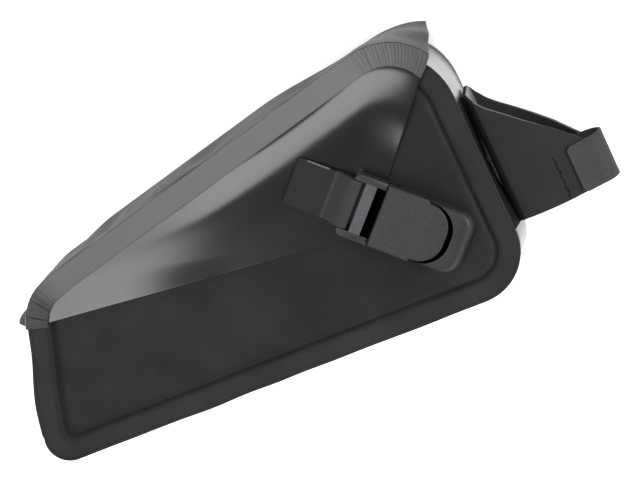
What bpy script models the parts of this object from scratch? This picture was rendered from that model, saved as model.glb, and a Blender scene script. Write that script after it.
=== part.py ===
"""A wedge-shaped bag that lies along a bicycle's top tube, lying on its far side panel.

+X runs along the top edge to the wide rear end, +Y points to the top tube and +Z out of the near
panel. Lengths are in metres.
"""

import math

import bmesh
import bpy
from mathutils import Vector

# Side outline of the body: sharp corners first, then their roundings
TOP_LENGTH = 0.249
REAR_HEIGHT = 0.1476
FRONT_HEIGHT = 0.0923
REAR_LEAN = math.radians(12.0)
FRONT_LEAN = math.radians(30.8)
TOP_FRONT_RADIUS = 0.033
BOTTOM_FRONT_RADIUS = 0.013
BOTTOM_REAR_RADIUS = 0.028
TOP_REAR_RADIUS = 0.037

# Body walls
BODY_DEPTH = 0.054
CLOTH = 0.0014
GAP = 0.0003
MARGIN = 0.012
FIELD_RISE = 0.0010
PANEL_DENT = 0.0009
GUSSET_INSET = 0.0008
GUSSET_BOW = 0.0015
GUSSET_BOW_START = 0.030
GUSSET_WAVE = 0.0007

# Lid: the hood over the mouth, the flap and the welded strip round it
LID_CLEARANCE = 0.0006
LID_CORNER_EASE = 0.004
LID_REAR_SWEEP_NEAR = 0.69
LID_REAR_SWEEP_FAR = 0.50
HOOD_WAVE = 0.0016
FRONT_FLARE = 0.0040
REAR_FLARE = 0.0035
STRIP_WIDTH = 0.0115
STRIP_THICKNESS = 0.0011
PLEAT_HEIGHT = 0.0009
PLEATS = 5
FLAP_HEIGHT = 0.0752
FLAP_APEX_TO_REAR = 0.0833
FLAP_APEX_RADIUS = 0.005
FLAP_FOLD = 0.0016

# Flap webbing and the hook buckle, along the line that the webbing pulls on
WEBBING_WIDTH = 0.025
WEBBING_THICKNESS = 0.0013
HEM_LENGTH = 0.0205
WEBBING_REACH = 0.0335
BUCKLE_FROM_APEX = 0.011
BUCKLE_TURN = math.radians(3.0)
BUCKLE_LIFT = 0.0047
FRAME_LENGTH = 0.0165
FRAME_THICKNESS = 0.0040
FRAME_ARM = 0.0035
FRAME_CORNER_RADIUS = 0.0030
CROSSBAR_RADIUS = 0.0015
MIDDLE_BAR_WIDTH = 0.0058
COVER_SLOT = 0.0049
COVER_LENGTH = 0.0355
COVER_THICKNESS = 0.0055
COVER_END_RADIUS = 0.0115
CATCH_START = 0.006
CATCH_RIM = 0.0093
CATCH_MOAT = 0.0027
CATCH_END_RADIUS = 0.0085
CATCH_RIM_HEIGHT = 0.0090
CATCH_SLOPE = 0.0050

# Seat tube strap
STRAP_WALL = 0.0020
STRAP_FROM_TOP = 0.0500
STRAP_BASE_HEIGHT = 0.0695
STRAP_BASE_WIDTH = 0.030
STRAP_FOLD_RADIUS = 0.0030
WING_LENGTH = 0.0440
STRAP_TAB_REACH = 0.0570
STRAP_TAB_OVERLAP = 0.0095
STRAP_TAB_CLIP = 0.0022

# Steps of the outline between and round its corners
ARC_STEPS = 7
LID_ARC_STEPS = 11
TOP_STEPS = 14
FRONT_STEPS = 5
BOTTOM_STEPS = 15
REAR_STEPS = 8

# Section of a side panel from its rim inwards: (inset in margins, height in field rises)
PANEL_RINGS = (
    (0.00, 0.0),
    (0.86, 0.0),
    (0.97, -0.8),
    (1.10, -0.7),
    (1.28, 0.6),
    (1.60, 1.0),
)
# Further rings that only carry dents: inset in margins
PANEL_FIELD_RINGS = (2.1, 2.7, 3.2)

# Soft dents of the near panel: place along the top, down the rear, half width and half length as
# shares of the top length, bearing in degrees, depth in panel dents
PANEL_DENTS = (
    (0.02, 0.60, 0.030, 0.12, -16.0, 1.0),
    (0.20, 0.72, 0.025, 0.10, -12.0, 0.8),
    (0.52, 0.84, 0.022, 0.12, -14.0, 0.7),
    (0.88, 0.50, 0.022, 0.10, 78.0, 0.8),
)

# Section of the gusset from far to near panel: (share of depth, share of bow)
GUSSET_ROWS = (
    (0.00, 0.0),
    (0.14, 0.55),
    (0.32, 0.90),
    (0.50, 1.0),
    (0.68, 0.90),
    (0.86, 0.55),
    (1.00, 0.0),
)

# Rows of the hood from far to near edge: share of depth
HOOD_ROWS = (0.0, 0.08, 0.2, 0.35, 0.5, 0.65, 0.8, 0.92, 1.0)

# Dents across the hood: (place along it, half width as a share of it, share of the wave depth)
HOOD_WAVES = (
    (0.24, 0.060, 1.0),
    (0.36, 0.055, -0.5),
    (0.49, 0.070, 1.0),
    (0.61, 0.050, -0.4),
    (0.72, 0.060, 0.9),
)

# Rows of the flap from the top border to its apex: share of the way
FLAP_ROWS = (0.0, 0.10, 0.22, 0.36, 0.50, 0.64, 0.78, 0.90, 1.0)

# Soft folds that run to the apex: (place round the lid, half width as a share, share of the fold height)
FLAP_FOLDS = (
    (0.06, 0.040, 1.0),
    (0.17, 0.050, 0.7),
    (0.70, 0.050, 0.6),
    (0.86, 0.045, 0.9),
)

# Upper edge of a wing: (share of the wing's length, share of the drop to the webbing's width)
WING_EDGE = (
    (0.00, 0.00),
    (0.07, 0.10),
    (0.16, 0.21),
    (0.34, 0.36),
    (0.52, 0.52),
    (0.76, 0.73),
    (1.00, 0.98),
)
# Spread of the wings from the strap's middle: (share of length, share of half the base width)
WING_SPREAD = (
    (0.10, 1.01),
    (0.25, 1.07),
    (0.45, 1.10),
    (0.62, 1.02),
    (0.80, 0.84),
    (1.00, 0.62),
)

# Heights over the floor, which the far panel's field rests on
FAR_MARGIN_Z = FIELD_RISE
NEAR_MARGIN_Z = FIELD_RISE + BODY_DEPTH
NEAR_FIELD_Z = NEAR_MARGIN_Z + FIELD_RISE
FLAP_TOP_Z = NEAR_FIELD_Z + GAP + CLOTH
MIDDLE_Z = FIELD_RISE + BODY_DEPTH / 2
LID_OUTSET = CLOTH + LID_CLEARANCE

# Buckle sizes that follow from the webbing
SLOT_HALF_WIDTH = WEBBING_WIDTH / 2 + 2 * GAP
BUCKLE_HALF_WIDTH = SLOT_HALF_WIDTH + FRAME_ARM
FRAME_END = GAP
COVER_START = FRAME_END + GAP
MIDDLE_BAR_END = COVER_START - COVER_SLOT
MIDDLE_BAR_START = MIDDLE_BAR_END - MIDDLE_BAR_WIDTH
FRAME_START = FRAME_END - FRAME_LENGTH
WRAP_RADIUS = CROSSBAR_RADIUS + GAP + WEBBING_THICKNESS / 2
CROSSBAR_X = FRAME_START + CROSSBAR_RADIUS
FLAP_TOP_HEIGHT = FLAP_TOP_Z - NEAR_FIELD_Z
CROSSBAR_HEIGHT = max(BUCKLE_LIFT + CROSSBAR_RADIUS, FLAP_TOP_HEIGHT + GAP + WEBBING_THICKNESS / 2 + WRAP_RADIUS)
COVER_END = COVER_START + COVER_LENGTH
COVER_BOTTOM = BUCKLE_LIFT + GAP

VINYL_GREY = (0.040, 0.038, 0.036)
COATED_GREY = (0.070, 0.070, 0.068)
PLASTIC_GREY = (0.060, 0.060, 0.062)
WEBBING_GREY = (0.095, 0.090, 0.085)


def smoothstep(value):
    """0 below 0, 1 above 1 and a soft curve between."""
    value = min(max(value, 0.0), 1.0)
    return value * value * (3.0 - 2.0 * value)


def bump(distance):
    """1 at distance 0, falling softly to 0 at distance 1."""
    return 1.0 - smoothstep(abs(distance))


def read_table(table, place):
    """The table's second column at a place in its first, with straight runs between rows."""
    for (start, low), (end, high) in zip(table, table[1:]):
        if place <= end:
            share = max(place - start, 0.0) / (end - start)
            return low + (high - low) * share
    return table[-1][1]


def left_of(direction):
    """The direction turned a quarter turn to the left."""
    return Vector((-direction.y, direction.x))


def turned(vector, angle):
    """A flat vector turned anticlockwise by an angle."""
    cos, sin = math.cos(angle), math.sin(angle)
    return Vector((vector.x * cos - vector.y * sin, vector.x * sin + vector.y * cos))


def between(start, end, steps):
    """The points that divide the line from start to end, without its ends."""
    return [start.lerp(end, i / steps) for i in range(1, steps)]


def body_corners():
    """Sharp corners of the side outline, anticlockwise from the top front one."""
    top_front = Vector((-TOP_LENGTH / 2, 0.0))
    top_rear = Vector((TOP_LENGTH / 2, 0.0))
    down_front = Vector((-math.sin(FRONT_LEAN), -math.cos(FRONT_LEAN)))
    down_rear = Vector((-math.sin(REAR_LEAN), -math.cos(REAR_LEAN)))
    return [
        top_front,
        top_front + FRONT_HEIGHT * down_front,
        top_rear + REAR_HEIGHT * down_rear,
        top_rear,
    ]


def inset_corners(inset):
    """The corners with every side moved inwards."""
    corners = body_corners()
    moved = []
    for i, corner in enumerate(corners):
        before = left_of((corner - corners[i - 1]).normalized())
        after = left_of((corners[(i + 1) % 4] - corner).normalized())
        moved.append(corner + (before + after) * (inset / (1.0 + before.dot(after))))
    return moved


def corner_arc(corners, index, radius, steps, first=0.0):
    """Points round one corner, from the share first of its turn to its end."""
    corner = corners[index]
    before = (corner - corners[index - 1]).normalized()
    after = (corners[(index + 1) % 4] - corner).normalized()
    turn = before.angle_signed(after) * -1.0
    start = corner - before * radius * math.tan(turn / 2)
    centre = start + left_of(before) * radius
    shares = [first + (1.0 - first) * i / steps for i in range(steps + 1)]
    return [centre + turned(start - centre, turn * share) for share in shares]


def side_path(inset):
    """The outline from the mouth's front end, down and round to its rear end."""
    corners = inset_corners(inset)
    radii = (TOP_FRONT_RADIUS, BOTTOM_FRONT_RADIUS, BOTTOM_REAR_RADIUS, TOP_REAR_RADIUS)
    least = BOTTOM_FRONT_RADIUS / 3
    arcs = [corner_arc(corners, i, max(radii[i] - inset, least), ARC_STEPS) for i in range(4)]
    path = list(arcs[0])
    for arc, steps in zip(arcs[1:], (FRONT_STEPS, BOTTOM_STEPS, REAR_STEPS)):
        path += between(path[-1], arc[0], steps) + arc
    return path


def panel_outline(inset):
    """The whole closed outline of a side panel."""
    path = side_path(inset)
    return path + between(path[-1], path[0], TOP_STEPS)


def lid_path(inset, rear_sweep):
    """The lid's outline from its front end over the top to its rear end, moved in by inset."""
    corners = inset_corners(inset - LID_OUTSET)
    front_radius = TOP_FRONT_RADIUS - LID_CORNER_EASE - inset
    rear_radius = TOP_REAR_RADIUS - LID_CORNER_EASE - inset
    front = corner_arc(corners, 0, front_radius, LID_ARC_STEPS)[::-1]
    rear = corner_arc(corners, 3, rear_radius, LID_ARC_STEPS, 1.0 - rear_sweep)[::-1]
    return front + between(front[-1], rear[0], TOP_STEPS) + rear


def path_normals(path):
    """Normals of a flat path, to the left of its direction."""
    ends = zip([path[0]] + path[:-1], path[1:] + [path[-1]])
    return [left_of((after - before).normalized()) for before, after in ends]


def path_shares(path):
    """How far along the path each of its points lies, from 0 to 1."""
    lengths = [0.0]
    for before, after in zip(path, path[1:]):
        lengths.append(lengths[-1] + (after - before).length)
    return [length / lengths[-1] for length in lengths]


def material(name, colour, roughness, metallic=0.0):
    made = bpy.data.materials.new(name)
    made.use_nodes = True
    shader = made.node_tree.nodes["Principled BSDF"]
    shader.inputs["Base Color"].default_value = (*colour, 1.0)
    shader.inputs["Roughness"].default_value = roughness
    shader.inputs["Metallic"].default_value = metallic
    return made


def add_object(name, mesh, collection, parent, colour, roughness):
    made = bpy.data.objects.new(name, mesh)
    made.parent = parent
    mesh.materials.append(material(name + "_finish", colour, roughness))
    collection.objects.link(made)
    return made


def surface_mesh(name, rows, closed=False, cap=False):
    """A mesh of four-sided faces through rows of points, which may close on themselves.

    With a cap, the last row is filled with one face.
    """
    bm = bmesh.new()
    grid = [[bm.verts.new(point) for point in row] for row in rows]
    for low, high in zip(grid, grid[1:]):
        count = len(low)
        for i in range(count if closed else count - 1):
            j = (i + 1) % count
            bm.faces.new((low[i], low[j], high[j], high[i]))
    if cap:
        bm.faces.new(grid[-1])
    mesh = bpy.data.meshes.new(name)
    bm.to_mesh(mesh)
    bm.free()
    mesh.shade_smooth()
    mesh.set_sharp_from_angle(angle=math.radians(40.0))
    return mesh


def thicken(obj, thickness, side):
    """Gives a surface its wall: side -1 is behind its faces, 1 before them and 0 both."""
    wall = obj.modifiers.new("wall", "SOLIDIFY")
    wall.thickness = thickness
    wall.offset = side
    wall.use_even_offset = True
    wall.use_quality_normals = True


def round_edges(obj, width, segments):
    bevel = obj.modifiers.new("rounded edges", "BEVEL")
    bevel.width = width
    bevel.segments = segments
    bevel.limit_method = "ANGLE"
    bevel.angle_limit = math.radians(50.0)


def plate_mesh(name, outline, low, high):
    """A plate with a flat outline, between two heights."""
    bm = bmesh.new()
    face = bm.faces.new([bm.verts.new((*point, low)) for point in outline])
    raised = bmesh.ops.extrude_face_region(bm, geom=[face])
    top = [item for item in raised["geom"] if isinstance(item, bmesh.types.BMVert)]
    bmesh.ops.translate(bm, vec=(0.0, 0.0, high - low), verts=top)
    bmesh.ops.recalc_face_normals(bm, faces=bm.faces)
    mesh = bpy.data.meshes.new(name)
    bm.to_mesh(mesh)
    bm.free()
    return mesh


def rounded_end_outline(start, end, half_width, start_radius, end_radius, steps):
    """A rectangle along +X with its own corner radius at each end, anticlockwise."""
    outline = []
    for centre_x, side, radius, first in (
        (end - end_radius, 1.0, end_radius, 0.0),
        (start + start_radius, 1.0, start_radius, 90.0),
        (start + start_radius, -1.0, start_radius, 180.0),
        (end - end_radius, -1.0, end_radius, 270.0),
    ):
        centre = Vector((centre_x, side * (half_width - radius)))
        for i in range(steps + 1):
            angle = math.radians(first + 90.0 * i / steps)
            outline.append(centre + radius * Vector((math.cos(angle), math.sin(angle))))
    return outline


def panel_dent(point):
    """Depth of the near panel's dents at a point of its field."""
    depth = 0.0
    for along, down, width, length, bearing, share in PANEL_DENTS:
        centre = Vector(((along - 0.5) * TOP_LENGTH, -down * REAR_HEIGHT))
        local = turned(point - centre, -math.radians(bearing))
        reach_x = local.x / (length * TOP_LENGTH)
        reach_y = local.y / (width * TOP_LENGTH)
        depth += share * PANEL_DENT * bump(math.hypot(reach_x, reach_y))
    return depth


def make_panel(name, collection, root, near):
    """A side panel: flat welded margin, pressed groove and raised field."""
    margin_z = NEAR_MARGIN_Z if near else FAR_MARGIN_Z
    outwards = 1.0 if near else -1.0
    field_rings = [(inset, 1.0) for inset in PANEL_FIELD_RINGS] if near else []
    rows = []
    for i, (inset, rise) in enumerate([*PANEL_RINGS, *field_rings]):
        dented = near and i >= len(PANEL_RINGS)
        row = []
        for point in panel_outline(inset * MARGIN):
            height = rise * FIELD_RISE - (panel_dent(point) if dented else 0.0)
            row.append((point.x, point.y, margin_z + outwards * height))
        rows.append(row)
    mesh = surface_mesh(name, rows, closed=True, cap=True)
    if not near:
        mesh.flip_normals()
    panel = add_object(name, mesh, collection, root, VINYL_GREY, 0.6)
    thicken(panel, CLOTH, -1.0)


def make_gusset(collection, root):
    """The band between the panels, open at the mouth, bowed out and softly waved."""
    path = side_path(GUSSET_INSET)
    normals = path_normals(path)
    low = FAR_MARGIN_Z + CLOTH + GAP
    high = NEAR_MARGIN_Z - CLOTH - GAP
    wave_length = BODY_DEPTH
    rows = []
    for depth, bow_share in GUSSET_ROWS:
        row = []
        travelled = 0.0
        for i, (point, normal) in enumerate(zip(path, normals)):
            travelled += (point - path[i - 1]).length if i else 0.0
            free = smoothstep((-point.y - GUSSET_BOW_START / 2) / GUSSET_BOW_START)
            wave = GUSSET_WAVE * math.sin(2.0 * math.pi * travelled / wave_length)
            place = point - normal * bow_share * free * (GUSSET_BOW + wave)
            row.append((place.x, place.y, low + depth * (high - low)))
        rows.append(row)
    mesh = surface_mesh("gusset", rows)
    gusset = add_object("gusset", mesh, collection, root, COATED_GREY, 0.35)
    thicken(gusset, CLOTH, -1.0)


def make_hood(collection, root):
    """The lid's band over the mouth, waved along the top and flared at its two ends."""
    low = FAR_MARGIN_Z
    high = FLAP_TOP_Z
    rows = []
    for depth in HOOD_ROWS:
        sweep = LID_REAR_SWEEP_FAR + (LID_REAR_SWEEP_NEAR - LID_REAR_SWEEP_FAR) * depth
        path = lid_path(0.0, sweep)
        row = []
        for point, normal, along in zip(path, path_normals(path), path_shares(path)):
            slack = math.sin(math.pi * depth) ** 2
            wave = sum(share * bump((along - place) / width) for place, width, share in HOOD_WAVES)
            front = FRONT_FLARE * bump(along / 0.11) * bump((depth - 0.72) / 0.24)
            rear = REAR_FLARE * bump((1.0 - along) / 0.16) * bump((depth - 0.35) / 0.30)
            place = point + normal * (front + rear - HOOD_WAVE * wave * slack)
            row.append((place.x, place.y, low + depth * (high - low)))
        rows.append(row)
    mesh = surface_mesh("lid_hood", rows)
    mesh.flip_normals()
    hood = add_object("lid_hood", mesh, collection, root, COATED_GREY, 0.35)
    thicken(hood, CLOTH, -1.0)


def flap_apex():
    return Vector((TOP_LENGTH / 2 - FLAP_APEX_TO_REAR, -FLAP_HEIGHT))


def flap_border():
    """The flap's upper border, which lies just inside the hood."""
    return lid_path(CLOTH + GAP, LID_REAR_SWEEP_NEAR)


def make_flap(collection, root):
    """The triangular flap over the near panel, with soft folds that run to its apex."""
    border = flap_border()
    shares = path_shares(border)
    apex = flap_apex()
    to_front = (border[0] - apex).normalized()
    to_rear = (border[-1] - apex).normalized()
    half_angle = to_front.angle(to_rear) / 2
    centre = apex + (to_front + to_rear).normalized() * (FLAP_APEX_RADIUS / math.sin(half_angle))
    turn = math.pi - 2.0 * half_angle
    away = turned(-(to_front + to_rear).normalized(), -turn / 2)
    tip = [centre + turned(away, turn * share) * FLAP_APEX_RADIUS for share in shares]
    rows = []
    for down in FLAP_ROWS:
        row = []
        for start, end, share in zip(border, tip, shares):
            point = start.lerp(end, down)
            fold = sum(part * bump((share - place) / width) for place, width, part in FLAP_FOLDS)
            lift = FLAP_FOLD * fold * bump((down - 0.35) / 0.19)
            row.append((point.x, point.y, FLAP_TOP_Z + lift))
        rows.append(row)
    mesh = surface_mesh("lid_flap", rows)
    mesh.flip_normals()
    flap = add_object("lid_flap", mesh, collection, root, COATED_GREY, 0.3)
    thicken(flap, CLOTH, -1.0)


def make_strip(collection, root):
    """The welded strip along the lid's edge, pleated round its two corners."""
    low = FLAP_TOP_Z + GAP
    corner_points = LID_ARC_STEPS + 1
    rows = []
    for across in (0.0, 0.25, 0.6, 1.0):
        path = lid_path(across * STRIP_WIDTH, LID_REAR_SWEEP_NEAR)
        row = []
        for i, point in enumerate(path):
            from_end = min(i, len(path) - 1 - i)
            crest = 0.0
            if from_end < corner_points:
                crest = math.sin(math.pi * PLEATS * from_end / LID_ARC_STEPS) ** 2
            lift = PLEAT_HEIGHT * crest * math.sin(math.pi * (0.15 + 0.7 * across))
            row.append((point.x, point.y, low + lift))
        rows.append(row)
    mesh = surface_mesh("lid_strip", rows)
    strip = add_object("lid_strip", mesh, collection, root, COATED_GREY, 0.4)
    thicken(strip, STRIP_THICKNESS, -1.0)


def buckle_axis():
    """Where the webbing's line crosses the flap's rear edge, and the line's direction."""
    apex = flap_apex()
    edge = (flap_border()[-1] - apex).normalized()
    away = turned(-left_of(edge), -BUCKLE_TURN)
    return apex + edge * BUCKLE_FROM_APEX, away


def make_buckle_seat(root):
    """An empty on the near panel's field, with +X along the webbing's line."""
    place, away = buckle_axis()
    seat = bpy.data.objects.new("buckle_seat", None)
    seat.parent = root
    seat.location = (place.x, place.y, NEAR_FIELD_Z)
    seat.rotation_euler = (0.0, 0.0, math.atan2(away.y, away.x))
    return seat


def webbing_profile():
    """The webbing's path seen from its edge: under and round the crossbar, back, and a folded hem."""
    lower = FLAP_TOP_HEIGHT + GAP + WEBBING_THICKNESS / 2
    step = WEBBING_THICKNESS + GAP
    sewn = CROSSBAR_X + CROSSBAR_RADIUS - (WEBBING_REACH - HEM_LENGTH)
    end = sewn - HEM_LENGTH
    path = [
        Vector((sewn, lower)),
        Vector((sewn + 0.45 * (CROSSBAR_X - sewn), lower + 0.1 * step)),
    ]
    for i in range(9):
        angle = -math.pi / 2 + math.pi * i / 8
        path.append(Vector((CROSSBAR_X, CROSSBAR_HEIGHT)) + turned(Vector((WRAP_RADIUS, 0.0)), angle))
    top = path[-1]
    landing = Vector((sewn, lower + step))
    for share, fall in ((0.25, 0.12), (0.5, 0.48), (0.75, 0.85)):
        path.append(Vector((top.x + share * (landing.x - top.x), top.y + fall * (landing.y - top.y))))
    path += [landing, Vector((end + step, lower + step))]
    for i in range(1, 6):
        angle = math.pi / 2 + math.pi * i / 6
        path.append(Vector((end + step, lower + step / 2)) + turned(Vector((step / 2, 0.0)), angle))
    path += [Vector((end + step, lower)), Vector((sewn - 2 * WEBBING_THICKNESS, lower))]
    return path


def make_flap_webbing(collection, seat):
    half = WEBBING_WIDTH / 2
    path = webbing_profile()
    rows = [[(point.x, side * half, point.y) for point in path] for side in (-1.0, 0.0, 1.0)]
    mesh = surface_mesh("flap_webbing", rows)
    webbing = add_object("flap_webbing", mesh, collection, seat, WEBBING_GREY, 0.8)
    thicken(webbing, WEBBING_THICKNESS, 0.0)


def frame_outline():
    """The two arms and the middle bar: notches for the crossbar's side and for the cover's side."""
    arm = BUCKLE_HALF_WIDTH
    slot = SLOT_HALF_WIDTH
    radius = FRAME_CORNER_RADIUS
    half = [Vector((FRAME_END, arm))]
    for i in range(5):
        angle = math.radians(90.0 + 90.0 * i / 4)
        corner = Vector((FRAME_START + radius, arm - radius))
        half.append(corner + turned(Vector((radius, 0.0)), angle))
    half += [
        Vector((FRAME_START, slot)),
        Vector((MIDDLE_BAR_START, slot)),
    ]
    other_half = [
        Vector((MIDDLE_BAR_END, slot)),
        Vector((FRAME_END, slot)),
    ]
    left = half
    right = [Vector((point.x, -point.y)) for point in half[::-1]]
    inner = [Vector((point.x, -point.y)) for point in other_half[::-1]]
    return left + right + inner + other_half


def make_buckle_frame(collection, cutters, seat):
    """The hook's open frame, with the round crossbar that the webbing loops over."""
    mesh = plate_mesh("buckle_frame", frame_outline(), BUCKLE_LIFT, BUCKLE_LIFT + FRAME_THICKNESS)
    frame = add_object("buckle_frame", mesh, collection, seat, PLASTIC_GREY, 0.4)
    bm = bmesh.new()
    length = 2 * SLOT_HALF_WIDTH + FRAME_ARM
    radius = CROSSBAR_RADIUS
    bmesh.ops.create_cone(bm, cap_ends=True, segments=12, radius1=radius, radius2=radius, depth=length)
    bar_mesh = bpy.data.meshes.new("crossbar")
    bm.to_mesh(bar_mesh)
    bm.free()
    bar = bpy.data.objects.new("crossbar", bar_mesh)
    bar.parent = seat
    bar.location = (CROSSBAR_X, 0.0, CROSSBAR_HEIGHT)
    bar.rotation_euler = (math.pi / 2, 0.0, 0.0)
    cutters.objects.link(bar)
    join = frame.modifiers.new("crossbar", "BOOLEAN")
    join.operation = "UNION"
    join.object = bar
    return bar


def cover_outline(clearance=0.0):
    """The cover's outline; a clearance widens it, and its square end then runs on."""
    return rounded_end_outline(
        COVER_START - 2 * clearance,
        COVER_END + clearance,
        BUCKLE_HALF_WIDTH + clearance,
        CROSSBAR_RADIUS / 2,
        COVER_END_RADIUS + clearance,
        5,
    )


def make_buckle_cover(collection, seat):
    """The hook's cover, which sits in the catch."""
    mesh = plate_mesh("buckle_cover", cover_outline(), COVER_BOTTOM, COVER_BOTTOM + COVER_THICKNESS)
    cover = add_object("buckle_cover", mesh, collection, seat, PLASTIC_GREY, 0.55)
    round_edges(cover, COVER_THICKNESS / 7, 2)


def make_buckle_catch(collection, cutters, seat):
    """The plate on the near panel that the hook drops into, with a rim round the cover's end."""
    end = COVER_END + CATCH_MOAT + CATCH_RIM
    outline = rounded_end_outline(
        CATCH_START, end, BUCKLE_HALF_WIDTH, CROSSBAR_RADIUS, CATCH_END_RADIUS, 5
    )
    mesh = plate_mesh("buckle_catch", outline, GAP, CATCH_RIM_HEIGHT)
    bm = bmesh.new()
    bm.from_mesh(mesh)
    top_edges = [
        edge
        for edge in bm.edges
        if all(vert.co.z > CATCH_RIM_HEIGHT / 2 for vert in edge.verts)
    ]
    bmesh.ops.bevel(
        bm, geom=top_edges, offset=CATCH_SLOPE, segments=4, profile=0.5, affect="EDGES"
    )
    bm.to_mesh(mesh)
    bm.free()
    catch = add_object("buckle_catch", mesh, collection, seat, PLASTIC_GREY, 0.45)
    pocket_outline = cover_outline(CATCH_MOAT)
    pocket_mesh = plate_mesh("catch_pocket", pocket_outline, BUCKLE_LIFT, 2 * CATCH_RIM_HEIGHT)
    pocket = bpy.data.objects.new("catch_pocket", pocket_mesh)
    pocket.parent = seat
    cutters.objects.link(pocket)
    cut = catch.modifiers.new("pocket", "BOOLEAN")
    cut.operation = "DIFFERENCE"
    cut.object = pocket
    return pocket


def wing_spread(share):
    """Distance of a wing from the strap's middle plane at a share of its length."""
    return read_table(WING_SPREAD, share) * STRAP_BASE_WIDTH / 2


def strap_base_out():
    """Middle of the strap's base wall, out from the rear edge line."""
    return GUSSET_BOW + GUSSET_WAVE - GUSSET_INSET + GAP + STRAP_WALL / 2


def wing_length_at(share):
    return strap_base_out() + share * WING_LENGTH


def strap_profile():
    """The strap's path seen from above its edge: far wing, base and near wing, as (out, up)."""
    wing = [Vector((wing_length_at(share), wing_spread(share))) for share, _ in WING_SPREAD]
    corner = Vector((strap_base_out(), STRAP_BASE_WIDTH / 2))
    radius = STRAP_FOLD_RADIUS
    centre = corner + Vector((radius, -radius))
    fold = [centre + turned(Vector((0.0, radius)), math.radians(22.5 * i)) for i in range(5)]
    half = wing[::-1] + fold
    other = [Vector((point.x, -point.y)) for point in half[::-1]]
    return half + other


def make_strap_seat(root):
    """An empty on the rear edge, with +X out of the bag, +Y up the edge and +Z as the bag's."""
    corners = body_corners()
    up = (corners[3] - corners[2]).normalized()
    out = -left_of(up)
    seat = bpy.data.objects.new("strap_seat", None)
    seat.parent = root
    place = corners[3] - up * STRAP_FROM_TOP
    seat.location = (place.x, place.y, MIDDLE_Z)
    seat.rotation_euler = (0.0, 0.0, math.atan2(out.y, out.x))
    return seat


def make_seat_strap(collection, seat):
    """The wide strap that folds round the seat tube: a base on the gusset and two tapered wings."""
    drop = STRAP_BASE_HEIGHT - WEBBING_WIDTH
    rows = []
    for across in (0.0, 0.2, 0.4, 0.6, 0.8, 1.0):
        row = []
        for point in strap_profile():
            share = (point.x - strap_base_out()) / WING_LENGTH
            top = -drop * read_table(WING_EDGE, share)
            row.append((point.x, top + across * (-STRAP_BASE_HEIGHT - top), point.y))
        rows.append(row)
    mesh = surface_mesh("seat_strap", rows)
    strap = add_object("seat_strap", mesh, collection, seat, VINYL_GREY, 0.7)
    thicken(strap, STRAP_WALL, 0.0)


def tab_profile():
    """The tab's path as (out, up): along the far wing's inner face, round, and over the near wing."""
    clear = STRAP_WALL / 2 + GAP + WEBBING_THICKNESS / 2
    first = 1.0 - STRAP_TAB_OVERLAP / WING_LENGTH
    shares = [first + (1.0 - first) * i / 3 for i in range(4)]
    wing = [Vector((wing_length_at(share), wing_spread(share))) for share in shares]
    normals = path_normals(wing)
    near = [point + normal * clear for point, normal in zip(wing, normals)]
    far = [point - normal * clear for point, normal in zip(wing, normals)]
    far = [Vector((point.x, -point.y)) for point in far]
    middle = (near[-1].y + far[-1].y) / 2
    radius = (near[-1].y - far[-1].y) / 2
    reach = STRAP_TAB_REACH - WEBBING_THICKNESS / 2 - wing_length_at(1.0)
    bend = []
    for i in range(1, 10):
        angle = -math.pi / 2 + math.pi * i / 10
        bend.append(Vector((wing_length_at(1.0) + reach * math.cos(angle), middle + radius * math.sin(angle))))
    return far + bend + near[::-1]


def make_strap_tab(collection, seat):
    """The hook-and-loop webbing tab that closes the strap, with clipped end corners."""
    path = tab_profile()
    rows = []
    for across in (0.0, 0.5, 1.0):
        row = []
        for i, point in enumerate(path):
            clip = STRAP_TAB_CLIP if i == len(path) - 1 else 0.0
            width = WEBBING_WIDTH - 2 * clip
            row.append((point.x, -STRAP_BASE_HEIGHT + clip + (1.0 - across) * width, point.y))
        rows.append(row)
    mesh = surface_mesh("strap_tab", rows)
    tab = add_object("strap_tab", mesh, collection, seat, WEBBING_GREY, 0.8)
    thicken(tab, WEBBING_THICKNESS, 0.0)


def stand_on_origin(root, collection):
    """Moves the root so that the middle of the whole bag's underside is at the origin."""
    bpy.context.view_layer.update()
    graph = bpy.context.evaluated_depsgraph_get()
    points = []
    for obj in collection.objects:
        evaluated = obj.evaluated_get(graph)
        mesh = evaluated.to_mesh()
        points += [evaluated.matrix_world @ vert.co for vert in mesh.vertices]
        evaluated.to_mesh_clear()
    low = [min(point[axis] for point in points) for axis in range(3)]
    high = [max(point[axis] for point in points) for axis in range(3)]
    root.location = (-(low[0] + high[0]) / 2, -(low[1] + high[1]) / 2, -low[2])


def main():
    for obj in list(bpy.data.objects):
        bpy.data.objects.remove(obj, do_unlink=True)
    collection = bpy.data.collections.new("top_tube_bag")
    cutters = bpy.data.collections.new("cutters")
    bpy.context.scene.collection.children.link(collection)
    bpy.context.scene.collection.children.link(cutters)
    root = bpy.data.objects.new("bag_origin", None)
    bpy.context.scene.collection.objects.link(root)
    buckle_seat = make_buckle_seat(root)
    strap_seat = make_strap_seat(root)
    for seat in (buckle_seat, strap_seat):
        bpy.context.scene.collection.objects.link(seat)

    make_panel("near_panel", collection, root, near=True)
    make_panel("far_panel", collection, root, near=False)
    make_gusset(collection, root)
    make_hood(collection, root)
    make_flap(collection, root)
    make_strip(collection, root)
    make_flap_webbing(collection, buckle_seat)
    bar = make_buckle_frame(collection, cutters, buckle_seat)
    make_buckle_cover(collection, buckle_seat)
    pocket = make_buckle_catch(collection, cutters, buckle_seat)
    make_seat_strap(collection, strap_seat)
    make_strap_tab(collection, strap_seat)
    for helper in (bar, pocket):
        helper.hide_render = True
        helper.display_type = "WIRE"
    stand_on_origin(root, collection)


main()
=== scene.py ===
"""The look of a wedge-shaped bicycle bag that lies on its far side, on a pale floor."""

import math

import bmesh
import bpy
from mathutils import Matrix, Vector, noise


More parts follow.
